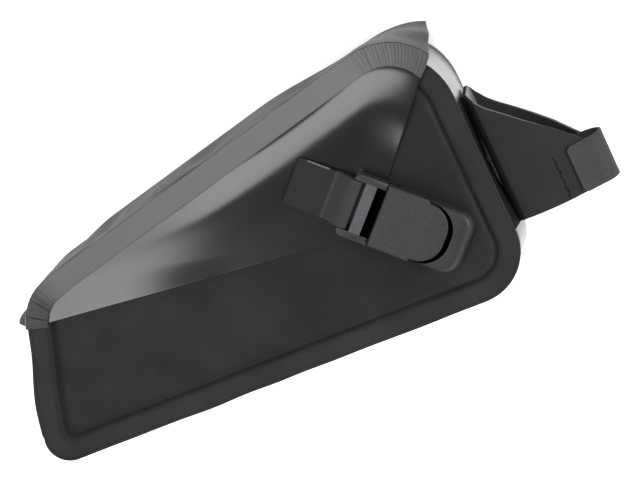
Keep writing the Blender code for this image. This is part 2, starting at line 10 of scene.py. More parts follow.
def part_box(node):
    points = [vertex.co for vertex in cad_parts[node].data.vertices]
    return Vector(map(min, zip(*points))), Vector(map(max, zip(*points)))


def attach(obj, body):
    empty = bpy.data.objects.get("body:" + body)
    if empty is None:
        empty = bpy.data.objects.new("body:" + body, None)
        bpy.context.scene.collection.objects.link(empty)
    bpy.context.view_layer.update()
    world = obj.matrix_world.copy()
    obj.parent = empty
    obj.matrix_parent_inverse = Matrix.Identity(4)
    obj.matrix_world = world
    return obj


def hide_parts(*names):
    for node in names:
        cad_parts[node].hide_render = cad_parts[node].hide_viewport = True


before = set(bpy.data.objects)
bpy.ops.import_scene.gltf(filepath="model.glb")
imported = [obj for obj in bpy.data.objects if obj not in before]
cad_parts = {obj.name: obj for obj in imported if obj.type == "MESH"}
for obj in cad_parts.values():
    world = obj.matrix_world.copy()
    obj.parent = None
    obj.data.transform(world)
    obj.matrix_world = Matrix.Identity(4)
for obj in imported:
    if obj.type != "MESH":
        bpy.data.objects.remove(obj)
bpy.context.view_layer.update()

MM = 0.001

# The body's outline and walls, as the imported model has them
TOP_LENGTH = 0.249
REAR_HEIGHT = 0.1488
FRONT_HEIGHT = 0.0934
REAR_LEAN = math.radians(12.0)
FRONT_LEAN = math.radians(30.8)
TOP_FRONT_RADIUS = 0.033
BOTTOM_FRONT_RADIUS = 0.013
BOTTOM_REAR_RADIUS = 0.028
TOP_REAR_RADIUS = 0.037
CLOTH = 0.0014
GAP = 0.0003
MARGIN = 0.012
GROOVE_START = 0.0114
GROOVE_END = 0.0130
FIELD_RISE = 0.0010
GUSSET_INSET = 0.0008
GUSSET_BOW = 0.0015
GUSSET_FLANGE_SHARE = 0.19
GUSSET_FLANGE_RISE = 0.45 * MM
GUSSET_WAVE = 0.7 * MM
GUSSET_WAVE_LENGTH = 0.054
LID_CLEARANCE = 0.0006
LID_CORNER_EASE = 0.004
LID_REAR_SWEEP_NEAR = 0.71
LID_REAR_SWEEP_FAR = 0.57
STRIP_WIDTH = 0.0115
FRONT_BULGE = 0.0020
FRONT_BULGE_REACH = 0.020
BOTTOM_WAVE = 0.0010
STRIP_THICKNESS = 0.0011
FLAP_HEIGHT = 0.0752
FLAP_APEX_TO_REAR = 0.0833
FLAP_APEX_RADIUS = 0.005
LID_OUTSET = CLOTH + LID_CLEARANCE

# Buckle and webbing
WEBBING_WIDTH = 0.025
WEBBING_THICKNESS = 0.0013
HEM_LENGTH = 0.0205
HEM_CORNER = 0.0028
WEBBING_REACH = 0.0335
BUCKLE_FROM_APEX = 0.011
BUCKLE_TURN = math.radians(3.0)
BUCKLE_LIFT = 0.0047
FRAME_SKIRT = 0.0022
FRAME_LENGTH = 0.0165
FRAME_THICKNESS = 0.0040
FRAME_ARM = 0.0035
FRAME_CORNER = 3.0 * MM
CROSSBAR_RADIUS = 0.0015
MIDDLE_BAR_WIDTH = 0.0058
COVER_SLOT = 0.0049
COVER_LENGTH = 0.0355
COVER_THICKNESS = 0.0055
COVER_END_RADIUS = 0.0125
COVER_NOTCH = 0.0215
COVER_NOTCH_LENGTH = 0.0007
COVER_NOTCH_DEPTH = 0.0014
CATCH_START = 0.006
CATCH_RIM = 0.0093
CATCH_MOAT = 0.0027
CATCH_END_RADIUS = 0.0085
CATCH_RIM_HEIGHT = 0.0090
CATCH_FLOOR = 0.0012
CATCH_SIDE_SLOPE = 0.30
CATCH_SIDE_WALL = 0.0008

# Seat tube strap
STRAP_WALL = 0.0020
STRAP_FROM_TOP = 0.0500
STRAP_BASE_HEIGHT = 0.0695
STRAP_BASE_WIDTH = 0.030
STRAP_BASE_OUT = 0.0027
STRAP_FOLD_RADIUS = 0.0030
WING_LENGTH = 0.0440
STRAP_TAB_REACH = 0.0570
STRAP_TAB_OVERLAP = 0.0095
STRAP_TAB_CLIP = 0.0018
FAR_WING_DROP = 0.0018
WING_STITCHES_SHARE = 0.63

# Heights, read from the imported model
NEAR_FIELD_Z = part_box("near_panel")[1][2]
NEAR_MARGIN_Z = NEAR_FIELD_Z - FIELD_RISE
FAR_MARGIN_Z = FIELD_RISE
FLAP_TOP_Z = NEAR_FIELD_Z + GAP + CLOTH
MIDDLE_Z = (NEAR_MARGIN_Z + FAR_MARGIN_Z) / 2

# Steps round a corner and lengths of the steps along the sides
ARC_STEPS = 22
LID_ARC_STEPS = 44
SIDE_STEP = 3.0 * MM

# Section of a side panel from its rim inwards: (inset and height, both in millimetres)
PANEL_SECTION = (
    (0.0, -0.35),
    (0.25, -0.08),
    (0.6, 0.0),
    (1.3, 0.0),
    (1.65, -0.26),
    (2.0, 0.0),
    (2.6, 0.02),
    (4.5, 0.03),
    (7.0, 0.03),
    (9.2, 0.0),
    (10.6, -0.04),
    (11.0, -0.30),
    (11.4, -0.88),
    (12.2, -0.96),
    (12.9, -0.74),
    (13.6, -0.30),
    (14.5, 0.20),
    (15.8, 0.62),
    (17.5, 0.88),
    (19.5, 0.98),
    (22.5, 1.0),
    (26.0, 1.0),
    (30.0, 1.0),
    (34.0, 1.0),
    (38.0, 1.0),
)
# How far the innermost rings are drawn in to the panel's middle line
FIELD_FILL = (0.22, 0.44, 0.66, 0.88)
FIELD_MIDDLE_INSET = 0.044

# Soft dents of the near panel: place along the top and down the rear, half width and half length as
# shares of the top length, bearing in degrees, depth in millimetres
PANEL_DENTS = (
    (0.02, 0.60, 0.030, 0.12, -16.0, 0.9),
    (-0.06, 0.42, 0.020, 0.07, 35.0, 0.8),
    (0.06, 0.46, 0.018, 0.06, 25.0, 0.7),
    (0.20, 0.72, 0.025, 0.10, -12.0, 0.7),
    (0.52, 0.84, 0.022, 0.12, -14.0, 0.6),
    (0.88, 0.50, 0.022, 0.10, 78.0, 0.7),
    (0.84, 0.30, 0.020, 0.06, 60.0, 0.6),
)

# Dents across the hood: (place along it, half width as a share of it, depth in millimetres)
HOOD_WAVES = (
    (0.24, 0.060, 1.6),
    (0.36, 0.055, -0.8),
    (0.49, 0.070, 1.6),
    (0.61, 0.050, -0.6),
    (0.72, 0.060, 1.5),
)

# Lens-shaped valleys of the hood right under the strip, where the hood cloth's colour is also darkened as
# painted shade: (place along it, half width as a share of it)
HOOD_VALLEYS = ((0.17, 0.09), (0.47, 0.13), (0.72, 0.09))
HOOD_VALLEY_DEPTH = 0.0017

# The flap rises from under the strip in a long soft roll: its height and its reach from the strip
FLAP_ROLL = 0.0021
FLAP_ROLL_REACH = 0.026
# Places along the top where the roll begins and where it is full
FLAP_ROLL_FADE = (-0.110, -0.015)

# The upper rear edge is drawn in below the near panel: its place and reach along the top, its depth
# and the height where it starts
PINCH_PLACE = 0.086
PINCH_LENGTH = 0.064
PINCH_DEPTH = 0.0052
PINCH_TOP = 0.052
# The gusset bulges out below the seat tube strap
GUSSET_BULGE = 0.0030
GUSSET_BULGE_PLACE = Vector((0.098, -0.122))
GUSSET_BULGE_REACH = 0.026
# How far the hood's free rear corner stands out
HOOD_TIP = 0.0052
# How far the lid's front end is drawn in, over what share of its length, and how far the hood's free
# front edge stands out there
FRONT_EASE = 0.0024
FRONT_EASE_REACH = 0.14
HOOD_FRONT_TIP = 0.0066
# How far the hood's far side is drawn in behind the front corner
HOOD_FRONT_TUCK = 0.0027

# The flap's rear border curls up: its height and the share of the border where it starts
FLAP_CURL = 0.0003
FLAP_CURL_START = 0.82

# Creases of the strip round its corners: (place and half width as shares of the corner, height in
# millimetres)
FRONT_PLEATS = ((0.30, 0.05, 0.5), (0.50, 0.04, 0.35), (0.64, 0.05, 0.6), (0.80, 0.04, 0.3))
REAR_PLEATS = (
    (0.10, 0.05, 0.45),
    (0.36, 0.05, 0.30),
    (0.55, 0.05, 0.35),
    (0.68, 0.05, 0.45),
    (0.80, 0.05, 0.75),
    (0.92, 0.05, 0.65),
)

# Upper edge of a wing and the wings' spread, as shares
WING_EDGE = ((0.0, 0.0), (0.07, 0.10), (0.16, 0.21), (0.34, 0.36), (0.52, 0.52), (0.76, 0.73), (1.0, 0.98))
WING_SPREAD = ((0.10, 1.01), (0.25, 1.07), (0.45, 1.10), (0.62, 1.02), (0.80, 0.84), (1.00, 0.62))

# Buckle sizes that follow
SLOT_HALF_WIDTH = WEBBING_WIDTH / 2 + 2 * GAP
BUCKLE_HALF_WIDTH = SLOT_HALF_WIDTH + FRAME_ARM
FRAME_END = GAP
COVER_START = FRAME_END + GAP
MIDDLE_BAR_END = COVER_START - COVER_SLOT
MIDDLE_BAR_START = MIDDLE_BAR_END - MIDDLE_BAR_WIDTH
FRAME_START = FRAME_END - FRAME_LENGTH
WRAP_RADIUS = CROSSBAR_RADIUS + GAP + WEBBING_THICKNESS / 2
CROSSBAR_X = FRAME_START + CROSSBAR_RADIUS
FLAP_TOP_HEIGHT = FLAP_TOP_Z - NEAR_FIELD_Z
CROSSBAR_HEIGHT = BUCKLE_LIFT + CROSSBAR_RADIUS
COVER_END = COVER_START + COVER_LENGTH
COVER_BOTTOM = BUCKLE_LIFT + GAP
HEM_START = CROSSBAR_X + CROSSBAR_RADIUS - (WEBBING_REACH - HEM_LENGTH)
HEM_END = HEM_START - HEM_LENGTH

# Camera, from the photograph's tilt: offsets to the image's right and up for each metre of height
LOOK_AT_IN_OUTLINE = Vector((0.01745, -0.0642))
TOP_EDGE_TURN = math.radians(37.25)
CAMERA_RIGHT = 0.09
CAMERA_UP = 0.27
CAMERA_DISTANCE = 1.2
LENS = 135.0


def smoothstep(value):
    """0 below 0, 1 above 1 and a soft curve between."""
    value = min(max(value, 0.0), 1.0)
    return value * value * (3.0 - 2.0 * value)


def bump(distance):
    """1 at distance 0, falling softly to 0 at distance 1."""
    return 1.0 - smoothstep(abs(distance))


def read_table(table, place):
    """The table's second column at a place in its first, with straight runs between rows."""
    for (start, low), (end, high) in zip(table, table[1:]):
        if place <= end:
            share = max(place - start, 0.0) / (end - start)
            return low + (high - low) * share
    return table[-1][1]


def wobble(x, y, size, seed=0.0):
    """Smooth noise from -1 to 1 with features of about the given size."""
    return noise.noise(Vector((x / size, y / size, seed)))


def left_of(direction):
    return Vector((-direction.y, direction.x))


def turned(vector, angle):
    cos, sin = math.cos(angle), math.sin(angle)
    return Vector((vector.x * cos - vector.y * sin, vector.x * sin + vector.y * cos))


def body_corners():
    top_front = Vector((-TOP_LENGTH / 2, 0.0))
    top_rear = Vector((TOP_LENGTH / 2, 0.0))
    down_front = Vector((-math.sin(FRONT_LEAN), -math.cos(FRONT_LEAN)))
    down_rear = Vector((-math.sin(REAR_LEAN), -math.cos(REAR_LEAN)))
    return [top_front, top_front + FRONT_HEIGHT * down_front, top_rear + REAR_HEIGHT * down_rear, top_rear]


def inset_corners(inset):
    corners = body_corners()
    moved = []
    for i, corner in enumerate(corners):
        before = left_of((corner - corners[i - 1]).normalized())
        after = left_of((corners[(i + 1) % 4] - corner).normalized())
        moved.append(corner + (before + after) * (inset / (1.0 + before.dot(after))))
    return moved


def corner_arc(corners, index, radius, steps, first=0.0):
    """Points round one corner, from the share first of its turn to its end."""
    corner = corners[index]
    before = (corner - corners[index - 1]).normalized()
    after = (corners[(index + 1) % 4] - corner).normalized()
    turn = -before.angle_signed(after)
    start = corner - before * radius * math.tan(turn / 2)
    centre = start + left_of(before) * radius
    shares = [first + (1.0 - first) * i / steps for i in range(steps + 1)]
    return [centre + turned(start - centre, turn * share) for share in shares]


def side_steps():
    """Numbers of steps along the front, bottom, rear and top, the same at every inset."""
    path = inset_corners(0.0)
    return [max(2, round((path[(i + 1) % 4] - path[i]).length / SIDE_STEP)) for i in range(4)]


def divided(start, end, steps):
    """Points that divide the line from start to end in steps, without its ends."""
    return [start.lerp(end, i / steps) for i in range(1, steps)]


def side_path(inset):
    """The outline from the mouth's front end, down and round to its rear end."""
    corners = inset_corners(inset)
    radii = (TOP_FRONT_RADIUS, BOTTOM_FRONT_RADIUS, BOTTOM_REAR_RADIUS, TOP_REAR_RADIUS)
    least = BOTTOM_FRONT_RADIUS / 3
    arcs = [corner_arc(corners, i, max(radii[i] - inset, least), ARC_STEPS) for i in range(4)]
    path = list(arcs[0])
    for arc, steps in zip(arcs[1:], side_steps()):
        side = divided(path[-1], arc[0], steps)
        out = -left_of((arc[0] - path[-1]).normalized())
        fade = max(1.0 - inset / FRONT_BULGE_REACH, 0.0)
        shares = [i / steps for i in range(1, steps)]
        if arc is arcs[1]:
            side = [p + out * FRONT_BULGE * fade * bump((t - 0.66) / 0.52) for p, t in zip(side, shares)]
        if arc is arcs[2]:
            waves = [wobble(t, 0.0, 0.13, 7.0) * math.sin(math.pi * t) for t in shares]
            side = [p + out * BOTTOM_WAVE * fade * wave for p, wave in zip(side, waves)]
        path += side + arc
    return path


def panel_outline(inset):
    path = side_path(inset)
    return path + divided(path[-1], path[0], side_steps()[3])


def lid_path(inset, rear_sweep):
    """The lid's outline from its front end over the top to its rear end, moved in by inset."""
    corners = inset_corners(inset - LID_OUTSET)
    front_radius = TOP_FRONT_RADIUS - LID_CORNER_EASE - inset
    rear_radius = TOP_REAR_RADIUS - LID_CORNER_EASE - inset
    front = corner_arc(corners, 0, front_radius, LID_ARC_STEPS)[::-1]
    rear = corner_arc(corners, 3, rear_radius, LID_ARC_STEPS, 1.0 - rear_sweep)[::-1]
    return front + divided(front[-1], rear[0], side_steps()[3]) + rear


def lid_length():
    return path_lengths(lid_path(0.0, LID_REAR_SWEEP_NEAR))[-1]


def eased_front(path, amount):
    """The lid's path drawn in towards its front end."""
    normals = path_normals(path)
    eased = []
    for point, normal, along in zip(path, normals, path_shares(path)):
        eased.append(point - normal * amount * smoothstep((FRONT_EASE_REACH - along) / FRONT_EASE_REACH))
    return eased


def path_normals(path):
    ends = zip([path[0]] + path[:-1], path[1:] + [path[-1]])
    return [left_of((after - before).normalized()) for before, after in ends]


def path_lengths(path):
    lengths = [0.0]
    for before, after in zip(path, path[1:]):
        lengths.append(lengths[-1] + (after - before).length)
    return lengths


def path_shares(path):
    lengths = path_lengths(path)
    return [length / lengths[-1] for length in lengths]


# The outline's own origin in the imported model
outline = panel_outline(0.0)
near_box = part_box("near_panel")
outline_end = (max(p.x for p in outline), max(p.y for p in outline))
ORIGIN = Vector((near_box[1][0] - outline_end[0], near_box[1][1] - outline_end[1], 0.0))


def buckle_matrix():
    """From the buckle's own axes, +X along the webbing, to the scene's."""
    apex = Vector((TOP_LENGTH / 2 - FLAP_APEX_TO_REAR, -FLAP_HEIGHT))
    edge = (lid_path(CLOTH + GAP, LID_REAR_SWEEP_NEAR)[-1] - apex).normalized()
    away = turned(-left_of(edge), -BUCKLE_TURN)
    place = apex + edge * BUCKLE_FROM_APEX
    at = Matrix.Translation((place.x, place.y, NEAR_FIELD_Z))
    return Matrix.Translation(ORIGIN) @ at @ Matrix.Rotation(math.atan2(away.y, away.x), 4, "Z")


def strap_matrix():
    """From the strap's own axes, +X out of the rear edge and +Y up it, to the scene's."""
    corners = body_corners()
    up = (corners[3] - corners[2]).normalized()
    out = -left_of(up)
    place = corners[3] - up * STRAP_FROM_TOP
    at = Matrix.Translation((place.x, place.y, MIDDLE_Z))
    return Matrix.Translation(ORIGIN) @ at @ Matrix.Rotation(math.atan2(out.y, out.x), 4, "Z")


BODY = Matrix.Translation(ORIGIN)
BUCKLE = buckle_matrix()
STRAP = strap_matrix()


# Materials


class Nodes:
    """A material's node tree, with short ways to add what the finishes here need."""

    def __init__(self, name):
        self.material = bpy.data.materials.new(name)
        self.material.use_nodes = True
        self.tree = self.material.node_tree
        self.shader = self.tree.nodes["Principled BSDF"]

    def add(self, kind, **values):
        node = self.tree.nodes.new(kind)
        for key, value in values.items():
            if hasattr(node, key):
                setattr(node, key, value)
            else:
                node.inputs[key.replace("_", " ")].default_value = value
        return node

    def link(self, output, target):
        self.tree.links.new(output, target)

    def coordinates(self, scale=(1.0, 1.0, 1.0), turn=0.0, uv=True):
        """Surface coordinates in metres times scale, turned in the surface."""
        source = self.add("ShaderNodeTexCoord")
        mapping = self.add("ShaderNodeMapping")
        mapping.inputs["Scale"].default_value = scale
        mapping.inputs["Rotation"].default_value = (0.0, 0.0, turn)
        self.link(source.outputs["UV" if uv else "Object"], mapping.inputs["Vector"])
        return mapping.outputs["Vector"]

    def noise(self, scale, detail=3.0, roughness=0.55):
        texture = self.add("ShaderNodeTexNoise", Scale=scale, Detail=detail, Roughness=roughness)
        self.link(self.coordinates(uv=False), texture.inputs["Vector"])
        return texture.outputs["Fac"]

    def bands(self, spacing, turn=0.0, distortion=0.0):
        """Ridges a spacing apart, across the surface's first direction turned by an angle."""
        texture = self.add("ShaderNodeTexWave", wave_type="BANDS", bands_direction="X")
        texture.inputs["Scale"].default_value = 1.0
        texture.inputs["Distortion"].default_value = distortion
        texture.inputs["Detail"].default_value = 1.0
        wave_scale = 0.05 * 2.0 * math.pi / spacing
        self.link(self.coordinates((wave_scale,) * 3, turn), texture.inputs["Vector"])
        return texture.outputs["Fac"]

    def math(self, operation, first, second=None):
        node = self.add("ShaderNodeMath", operation=operation)
        for i, value in enumerate((first, second)):
            if value is None:
                continue
            if isinstance(value, float):
                node.inputs[i].default_value = value
            else:
                self.link(value, node.inputs[i])
        return node.outputs[0]

    def ramp(self, factor, stops):
        """Colours at places along a factor."""
        node = self.add("ShaderNodeValToRGB")
        elements = node.color_ramp.elements
        while len(elements) < len(stops):
            elements.new(0.5)
        for element, (place, colour) in zip(elements, stops):
            element.position = place
            element.color = (*colour, 1.0)
        self.link(factor, node.inputs["Fac"])
        return node.outputs["Color"]

    def multiplied(self, first, second, factor=None):
        """One colour times another, fully or by a factor."""
        node = self.add("ShaderNodeMix", data_type="RGBA", blend_type="MULTIPLY")
        node.inputs["Factor"].default_value = 1.0
        if factor is not None:
            self.link(factor, node.inputs["Factor"])
        self.link(first, node.inputs["A"])
        self.link(second, node.inputs["B"])
        return node.outputs["Result"]

    def range(self, factor, low, high):
        """A noise's usual span, spread from low to high."""
        node = self.add("ShaderNodeMapRange")
        node.inputs["From Min"].default_value = 0.3
        node.inputs["From Max"].default_value = 0.7
        node.inputs["To Min"].default_value = low
        node.inputs["To Max"].default_value = high
        self.link(factor, node.inputs["Value"])
        return node.outputs["Result"]

    def bumps(self, *layers):
        """Stacks of (height, distance in metres, strength) on the shader's normal."""
        normal = None
        for height, distance, strength in layers:
            node = self.add("ShaderNodeBump")
            node.inputs["Distance"].default_value = distance
            node.inputs["Strength"].default_value = strength
            self.link(height, node.inputs["Height"])
            if normal is not None:
                self.link(normal, node.inputs["Normal"])
            normal = node.outputs["Normal"]
        self.link(normal, self.shader.inputs["Normal"])

    def set(self, **values):
        for key, value in values.items():
            self.shader.inputs[key.replace("_", " ")].default_value = value


# Mottling of the panels' charcoal cloth: place on the noise's scale and colour
PANEL_TONES = (
    (0.32, (0.0076, 0.0073, 0.0072)),
    (0.52, (0.0098, 0.0095, 0.0091)),
    (0.72, (0.0122, 0.0114, 0.0119)),
)


def grey(value, warmth=0.0):
    return (value * (1.0 + warmth), value, value * (1.0 - warmth))


def panel_cloth(name, lightness):
    """Matte charcoal coated cloth with a faint weave and soft mottling."""
    made = Nodes(name)
    tones = [(place, tuple(lightness * part for part in tone)) for place, tone in PANEL_TONES]
    made.link(made.ramp(made.noise(26.0, detail=4.0), tones), made.shader.inputs["Base Color"])
    made.link(made.range(made.noise(60.0), 0.50, 0.62), made.shader.inputs["Roughness"])
    weave = made.math("ADD", made.bands(0.9 * MM, 0.0), made.bands(0.9 * MM, math.pi / 2))
    made.bumps((weave, 0.05 * MM, 0.35), (made.noise(900.0, detail=2.0), 0.05 * MM, 0.3))
    made.set(Specular_IOR_Level=0.07)
    return made.material


def coated_cloth(name, low, high, roughness, weave_depth, ribs=0.0, coat=0.35, gloss=0.25, painted_valley_shade=False):
    """Shiny coated ripstop: fine diagonal threads, and cross ribs where it is gathered."""
    made = Nodes(name)
    tone = made.ramp(made.noise(34.0, detail=5.0), ((0.32, low), (0.72, high)))
    # Painted shade: the hood's colour is darkened in lens-shaped patches just under the strip, at the
    # valleys' places.
    if painted_valley_shade:
        place = made.add("ShaderNodeSeparateXYZ")
        made.link(made.coordinates(), place.inputs["Vector"])
        along = made.math("DIVIDE", place.outputs["X"], lid_length())
        up = made.math("DIVIDE", place.outputs["Y"], FLAP_TOP_Z - FAR_MARGIN_Z)
        stops = [(0.0, grey(0.0))]
        for middle, width in HOOD_VALLEYS:
            stops += [(middle - width, grey(0.0)), (middle, grey(1.0)), (middle + width, grey(0.0))]
        shade_under_strip = ((0.45, grey(0.0)), (0.88, grey(1.0)))
        valley = made.math("MULTIPLY", made.ramp(along, stops), made.ramp(up, shade_under_strip))
        tone = made.multiplied(tone, made.ramp(valley, ((0.0, grey(1.0)), (0.9, grey(0.04)))))
    made.link(tone, made.shader.inputs["Base Color"])
    made.link(made.range(made.noise(90.0, detail=4.0), 0.42, 0.50), made.shader.inputs["Roughness"])
    threads = made.bands(0.62 * MM, math.radians(52.0))
    cross = made.bands(1.9 * MM, math.radians(-38.0), 0.3)
    layers = [(threads, weave_depth * MM, 0.35), (cross, weave_depth * MM, 0.10)]
    if ribs:
        layers.append((made.bands(1.7 * MM, 0.0, 1.2), ribs * MM, 0.6))
    made.bumps(*layers)
    made.link(made.shader.inputs["Normal"].links[0].from_socket, made.shader.inputs["Coat Normal"])
    made.set(Coat_Weight=coat, Coat_Roughness=roughness, Specular_IOR_Level=gloss)
    return made.material


def strip_cloth(length):
    """The welded strip: satin grey cloth, finely ribbed where it is drawn round a corner; its colour carries
    painted shade towards the ends and painted light and shade on the ribs.
    """
    made = Nodes("strip_cloth")
    place = made.add("ShaderNodeSeparateXYZ")
    made.link(made.coordinates(), place.inputs["Vector"])
    share = made.math("DIVIDE", place.outputs["X"], length)
    mottle = made.range(made.noise(60.0, detail=5.0), -0.012, 0.012)
    # Tone along the strip, painted light and shade: darker at both ends where it bends round the corners,
    # lighter towards the rear; a soft noise varies it at random.
    tone = made.ramp(
        made.math("ADD", share, mottle),
        (
            (0.0, grey(0.007, 0.02)),
            (0.075, grey(0.013, 0.02)),
            (0.105, grey(0.032, 0.02)),
            (0.125, grey(0.041, 0.02)),
            (0.60, grey(0.056, 0.02)),
            (0.82, grey(0.062, 0.02)),
            (0.90, grey(0.046, 0.02)),
            (1.0, grey(0.026, 0.02)),
        ),
    )
    corner = made.ramp(
        share,
        ((0.0, grey(1.0)), (0.10, grey(0.6)), (0.14, grey(0.0)), (0.82, grey(0.0)), (0.86, grey(1.0))),
    )
    ribs = made.math("MULTIPLY", made.bands(1.5 * MM, 0.0, 2.5), corner)
    # Light and dark ribs painted into the colour round the corners: painted light and shade for the pleats.
    painted_rib_shading = made.ramp(made.bands(1.9 * MM, 0.0, 2.2), ((0.0, grey(0.72)), (0.9, grey(1.18))))
    made.link(made.multiplied(tone, painted_rib_shading, corner), made.shader.inputs["Base Color"])
    weave = made.bands(0.7 * MM, math.radians(48.0))
    made.bumps((weave, 0.03 * MM, 0.4), (ribs, 0.20 * MM, 0.8), (made.noise(200.0), 0.15 * MM, 0.3))
    made.set(Roughness=0.46, Specular_IOR_Level=0.2, Coat_Weight=0.12, Coat_Roughness=0.35)
    return made.material


def webbing_cloth(name, valley, ridge, relief):
    """Grey polyester webbing: a fine diagonal twill, with painted shade darkening its valleys, varied at
    random by soft noise.
    """
    made = Nodes(name)
    twill = made.bands(0.95 * MM, math.radians(58.0), 0.4)
    weft = made.bands(0.6 * MM, 0.0, 0.4)
    valley_shade_and_mottle = made.math("MULTIPLY", made.math("MULTIPLY", twill, weft), made.noise(260.0, detail=4.0))
    made.link(made.ramp(valley_shade_and_mottle, ((0.05, valley), (0.5, ridge))), made.shader.inputs["Base Color"])
    fuzz = made.noise(1500.0)
    made.bumps((twill, relief * MM, 0.5), (weft, 0.5 * relief * MM, 0.5), (fuzz, 0.04 * MM, 0.3))
    made.set(Roughness=0.75, Specular_IOR_Level=0.18)
    return made.material


def moulded_plastic(name, low, high, roughness, grain, gloss=0.22):
    """Grey moulded plastic with a spark-eroded grain and slight wear."""
    made = Nodes(name)
    speckle = made.math("ADD", made.math("MULTIPLY", made.noise(55.0), 0.3), made.noise(1300.0, detail=2.0))
    dark = tuple(0.78 * part for part in low)
    light = tuple(1.25 * part for part in high)
    made.link(made.ramp(speckle, ((0.48, dark), (0.82, light))), made.shader.inputs["Base Color"])
    wear = made.range(made.noise(160.0), roughness - 0.05, roughness + 0.06)
    made.link(wear, made.shader.inputs["Roughness"])
    made.bumps((made.noise(1500.0, detail=4.0, roughness=0.75), grain * MM, 0.7))
    made.set(Specular_IOR_Level=gloss)
    return made.material


def strap_cloth(name, low, high, roughness):
    """Matte cloth with a short nap."""
    made = Nodes(name)
    tone = made.ramp(made.noise(40.0, detail=5.0), ((0.3, low), (0.7, high)))
    made.link(tone, made.shader.inputs["Base Color"])
    nap = made.noise(1300.0, detail=4.0, roughness=0.7)
    made.bumps((nap, 0.10 * MM, 0.5), (made.noise(90.0), 0.3 * MM, 0.3))
    made.set(Roughness=roughness, Specular_IOR_Level=0.12)
    return made.material


def thread(name, colour):
    made = Nodes(name)
    shade = tuple(part * 0.7 for part in colour)
    made.link(made.ramp(made.noise(2600.0), ((0.3, shade), (0.7, colour))), made.shader.inputs["Base Color"])
    made.set(Roughness=0.7, Specular_IOR_Level=0.08)
    return made.material


PANEL = panel_cloth("panel_cloth", 1.0)
PANEL_MARGIN = panel_cloth("panel_margin_cloth", 1.28)
# A darker copy of the panel cloth: painted shade for the panel's groove.
PANEL_GROOVE_SHADE = panel_cloth("panel_groove_painted_shade", 0.50)
FLAP_CLOTH = coated_cloth(
    "flap_cloth", (0.0030, 0.0030, 0.0036), (0.0042, 0.0042, 0.0050), 0.165, 0.012, coat=0.87, gloss=0.02
)
STRIP_CLOTH = strip_cloth(lid_length())
HOOD_CLOTH = coated_cloth(
    "hood_cloth",
    grey(0.017, 0.07),
    grey(0.026, 0.07),
    0.45,
    0.04,
    ribs=0.20,
    coat=0.12,
    gloss=0.06,
    painted_valley_shade=True,
)
GUSSET_CLOTH = coated_cloth(
    "gusset_cloth", grey(0.018, 0.01), grey(0.024, 0.01), 0.26, 0.02, coat=1.0, gloss=0.7
)
GUSSET_FLANGE = coated_cloth(
    "gusset_flange_cloth", grey(0.014, 0.01), grey(0.018, 0.01), 0.30, 0.02, coat=0.45, gloss=0.4
)
# Near-black cloth as painted shadow: beside the strap on the gusset, under the strip on the hood and in the
# strap's fold.
PAINTED_SHADOW_CLOTH = strap_cloth("painted_shadow_cloth", grey(0.0020), grey(0.0030), 0.85)
WEBBING = webbing_cloth("webbing_cloth", grey(0.0135, 0.03), grey(0.026, 0.03), 0.08)
TAB_WEBBING = webbing_cloth("tab_webbing_cloth", grey(0.015, 0.03), grey(0.036, 0.03), 0.14)
HEM_CLOTH = webbing_cloth("hem_cloth", grey(0.0052, 0.04), grey(0.0082, 0.04), 0.05)
PLASTIC = moulded_plastic("cover_plastic", grey(0.0100, 0.0), grey(0.0125, 0.0), 0.50, 0.16)
FRAME_PLASTIC = moulded_plastic("frame_plastic", (0.026, 0.0275, 0.030), (0.032, 0.034, 0.037), 0.42, 0.08)
# Near-black plastic as painted shade: the buckle slot's floor and walls and the catch's moat.
PAINTED_SHADE_PLASTIC = moulded_plastic("painted_shade_plastic", grey(0.0008), grey(0.0010), 0.80, 0.08, gloss=0.0)
ARM_PLASTIC = moulded_plastic("arm_plastic", grey(0.0090, 0.0), grey(0.0115, 0.0), 0.46, 0.08)
STRAP_CLOTH = strap_cloth("strap_cloth", grey(0.0085, 0.04), grey(0.0110, 0.04), 0.80)
STRAP_EDGE = strap_cloth("strap_edge", grey(0.040, 0.01), grey(0.055, 0.01), 0.55)
STRAP_BASE = coated_cloth("strap_base_cloth", grey(0.060, 0.02), grey(0.072, 0.02), 0.40, 0.04)
PALE_THREAD = thread("pale_thread", (0.30, 0.29, 0.27))
DARK_THREAD = thread("dark_thread", (0.0045, 0.0042, 0.0042))


# Building pieces


def to_piece(name, mesh, materials, matrix, replaced=()):
    """An object that rides on the bag, with its mesh placed in the scene's axes."""
    mesh.transform(matrix)
    piece = bpy.data.objects.new(name, mesh)
    for item in materials:
        mesh.materials.append(item)
    bpy.context.scene.collection.objects.link(piece)
    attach(piece, "root")
    if replaced:
        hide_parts(*replaced)
    return piece


def surface_mesh(name, rows, uvs, closed=False, cap=False):
    """A mesh of four-sided faces through rows of points, with surface coordinates in metres."""
    bm = bmesh.new()
    layer = bm.loops.layers.uv.new("surface")
    grid = [[bm.verts.new(point) for point in row] for row in rows]
    for low, high, uv_low, uv_high in zip(grid, grid[1:], uvs, uvs[1:]):
        count = len(low)
        for i in range(count if closed else count - 1):
            j = (i + 1) % count
            face = bm.faces.new((low[i], low[j], high[j], high[i]))
            for loop, uv in zip(face.loops, (uv_low[i], uv_low[j], uv_high[j], uv_high[i])):
                loop[layer].uv = uv
    if cap:
        face = bm.faces.new(grid[-1])
        for loop, uv in zip(face.loops, uvs[-1]):
            loop[layer].uv = uv
    mesh = bpy.data.meshes.new(name)
    bm.to_mesh(mesh)
    bm.free()
    mesh.shade_smooth()
    return mesh


def flat_uvs(rows):
    return [[(point[0], point[1]) for point in row] for row in rows]


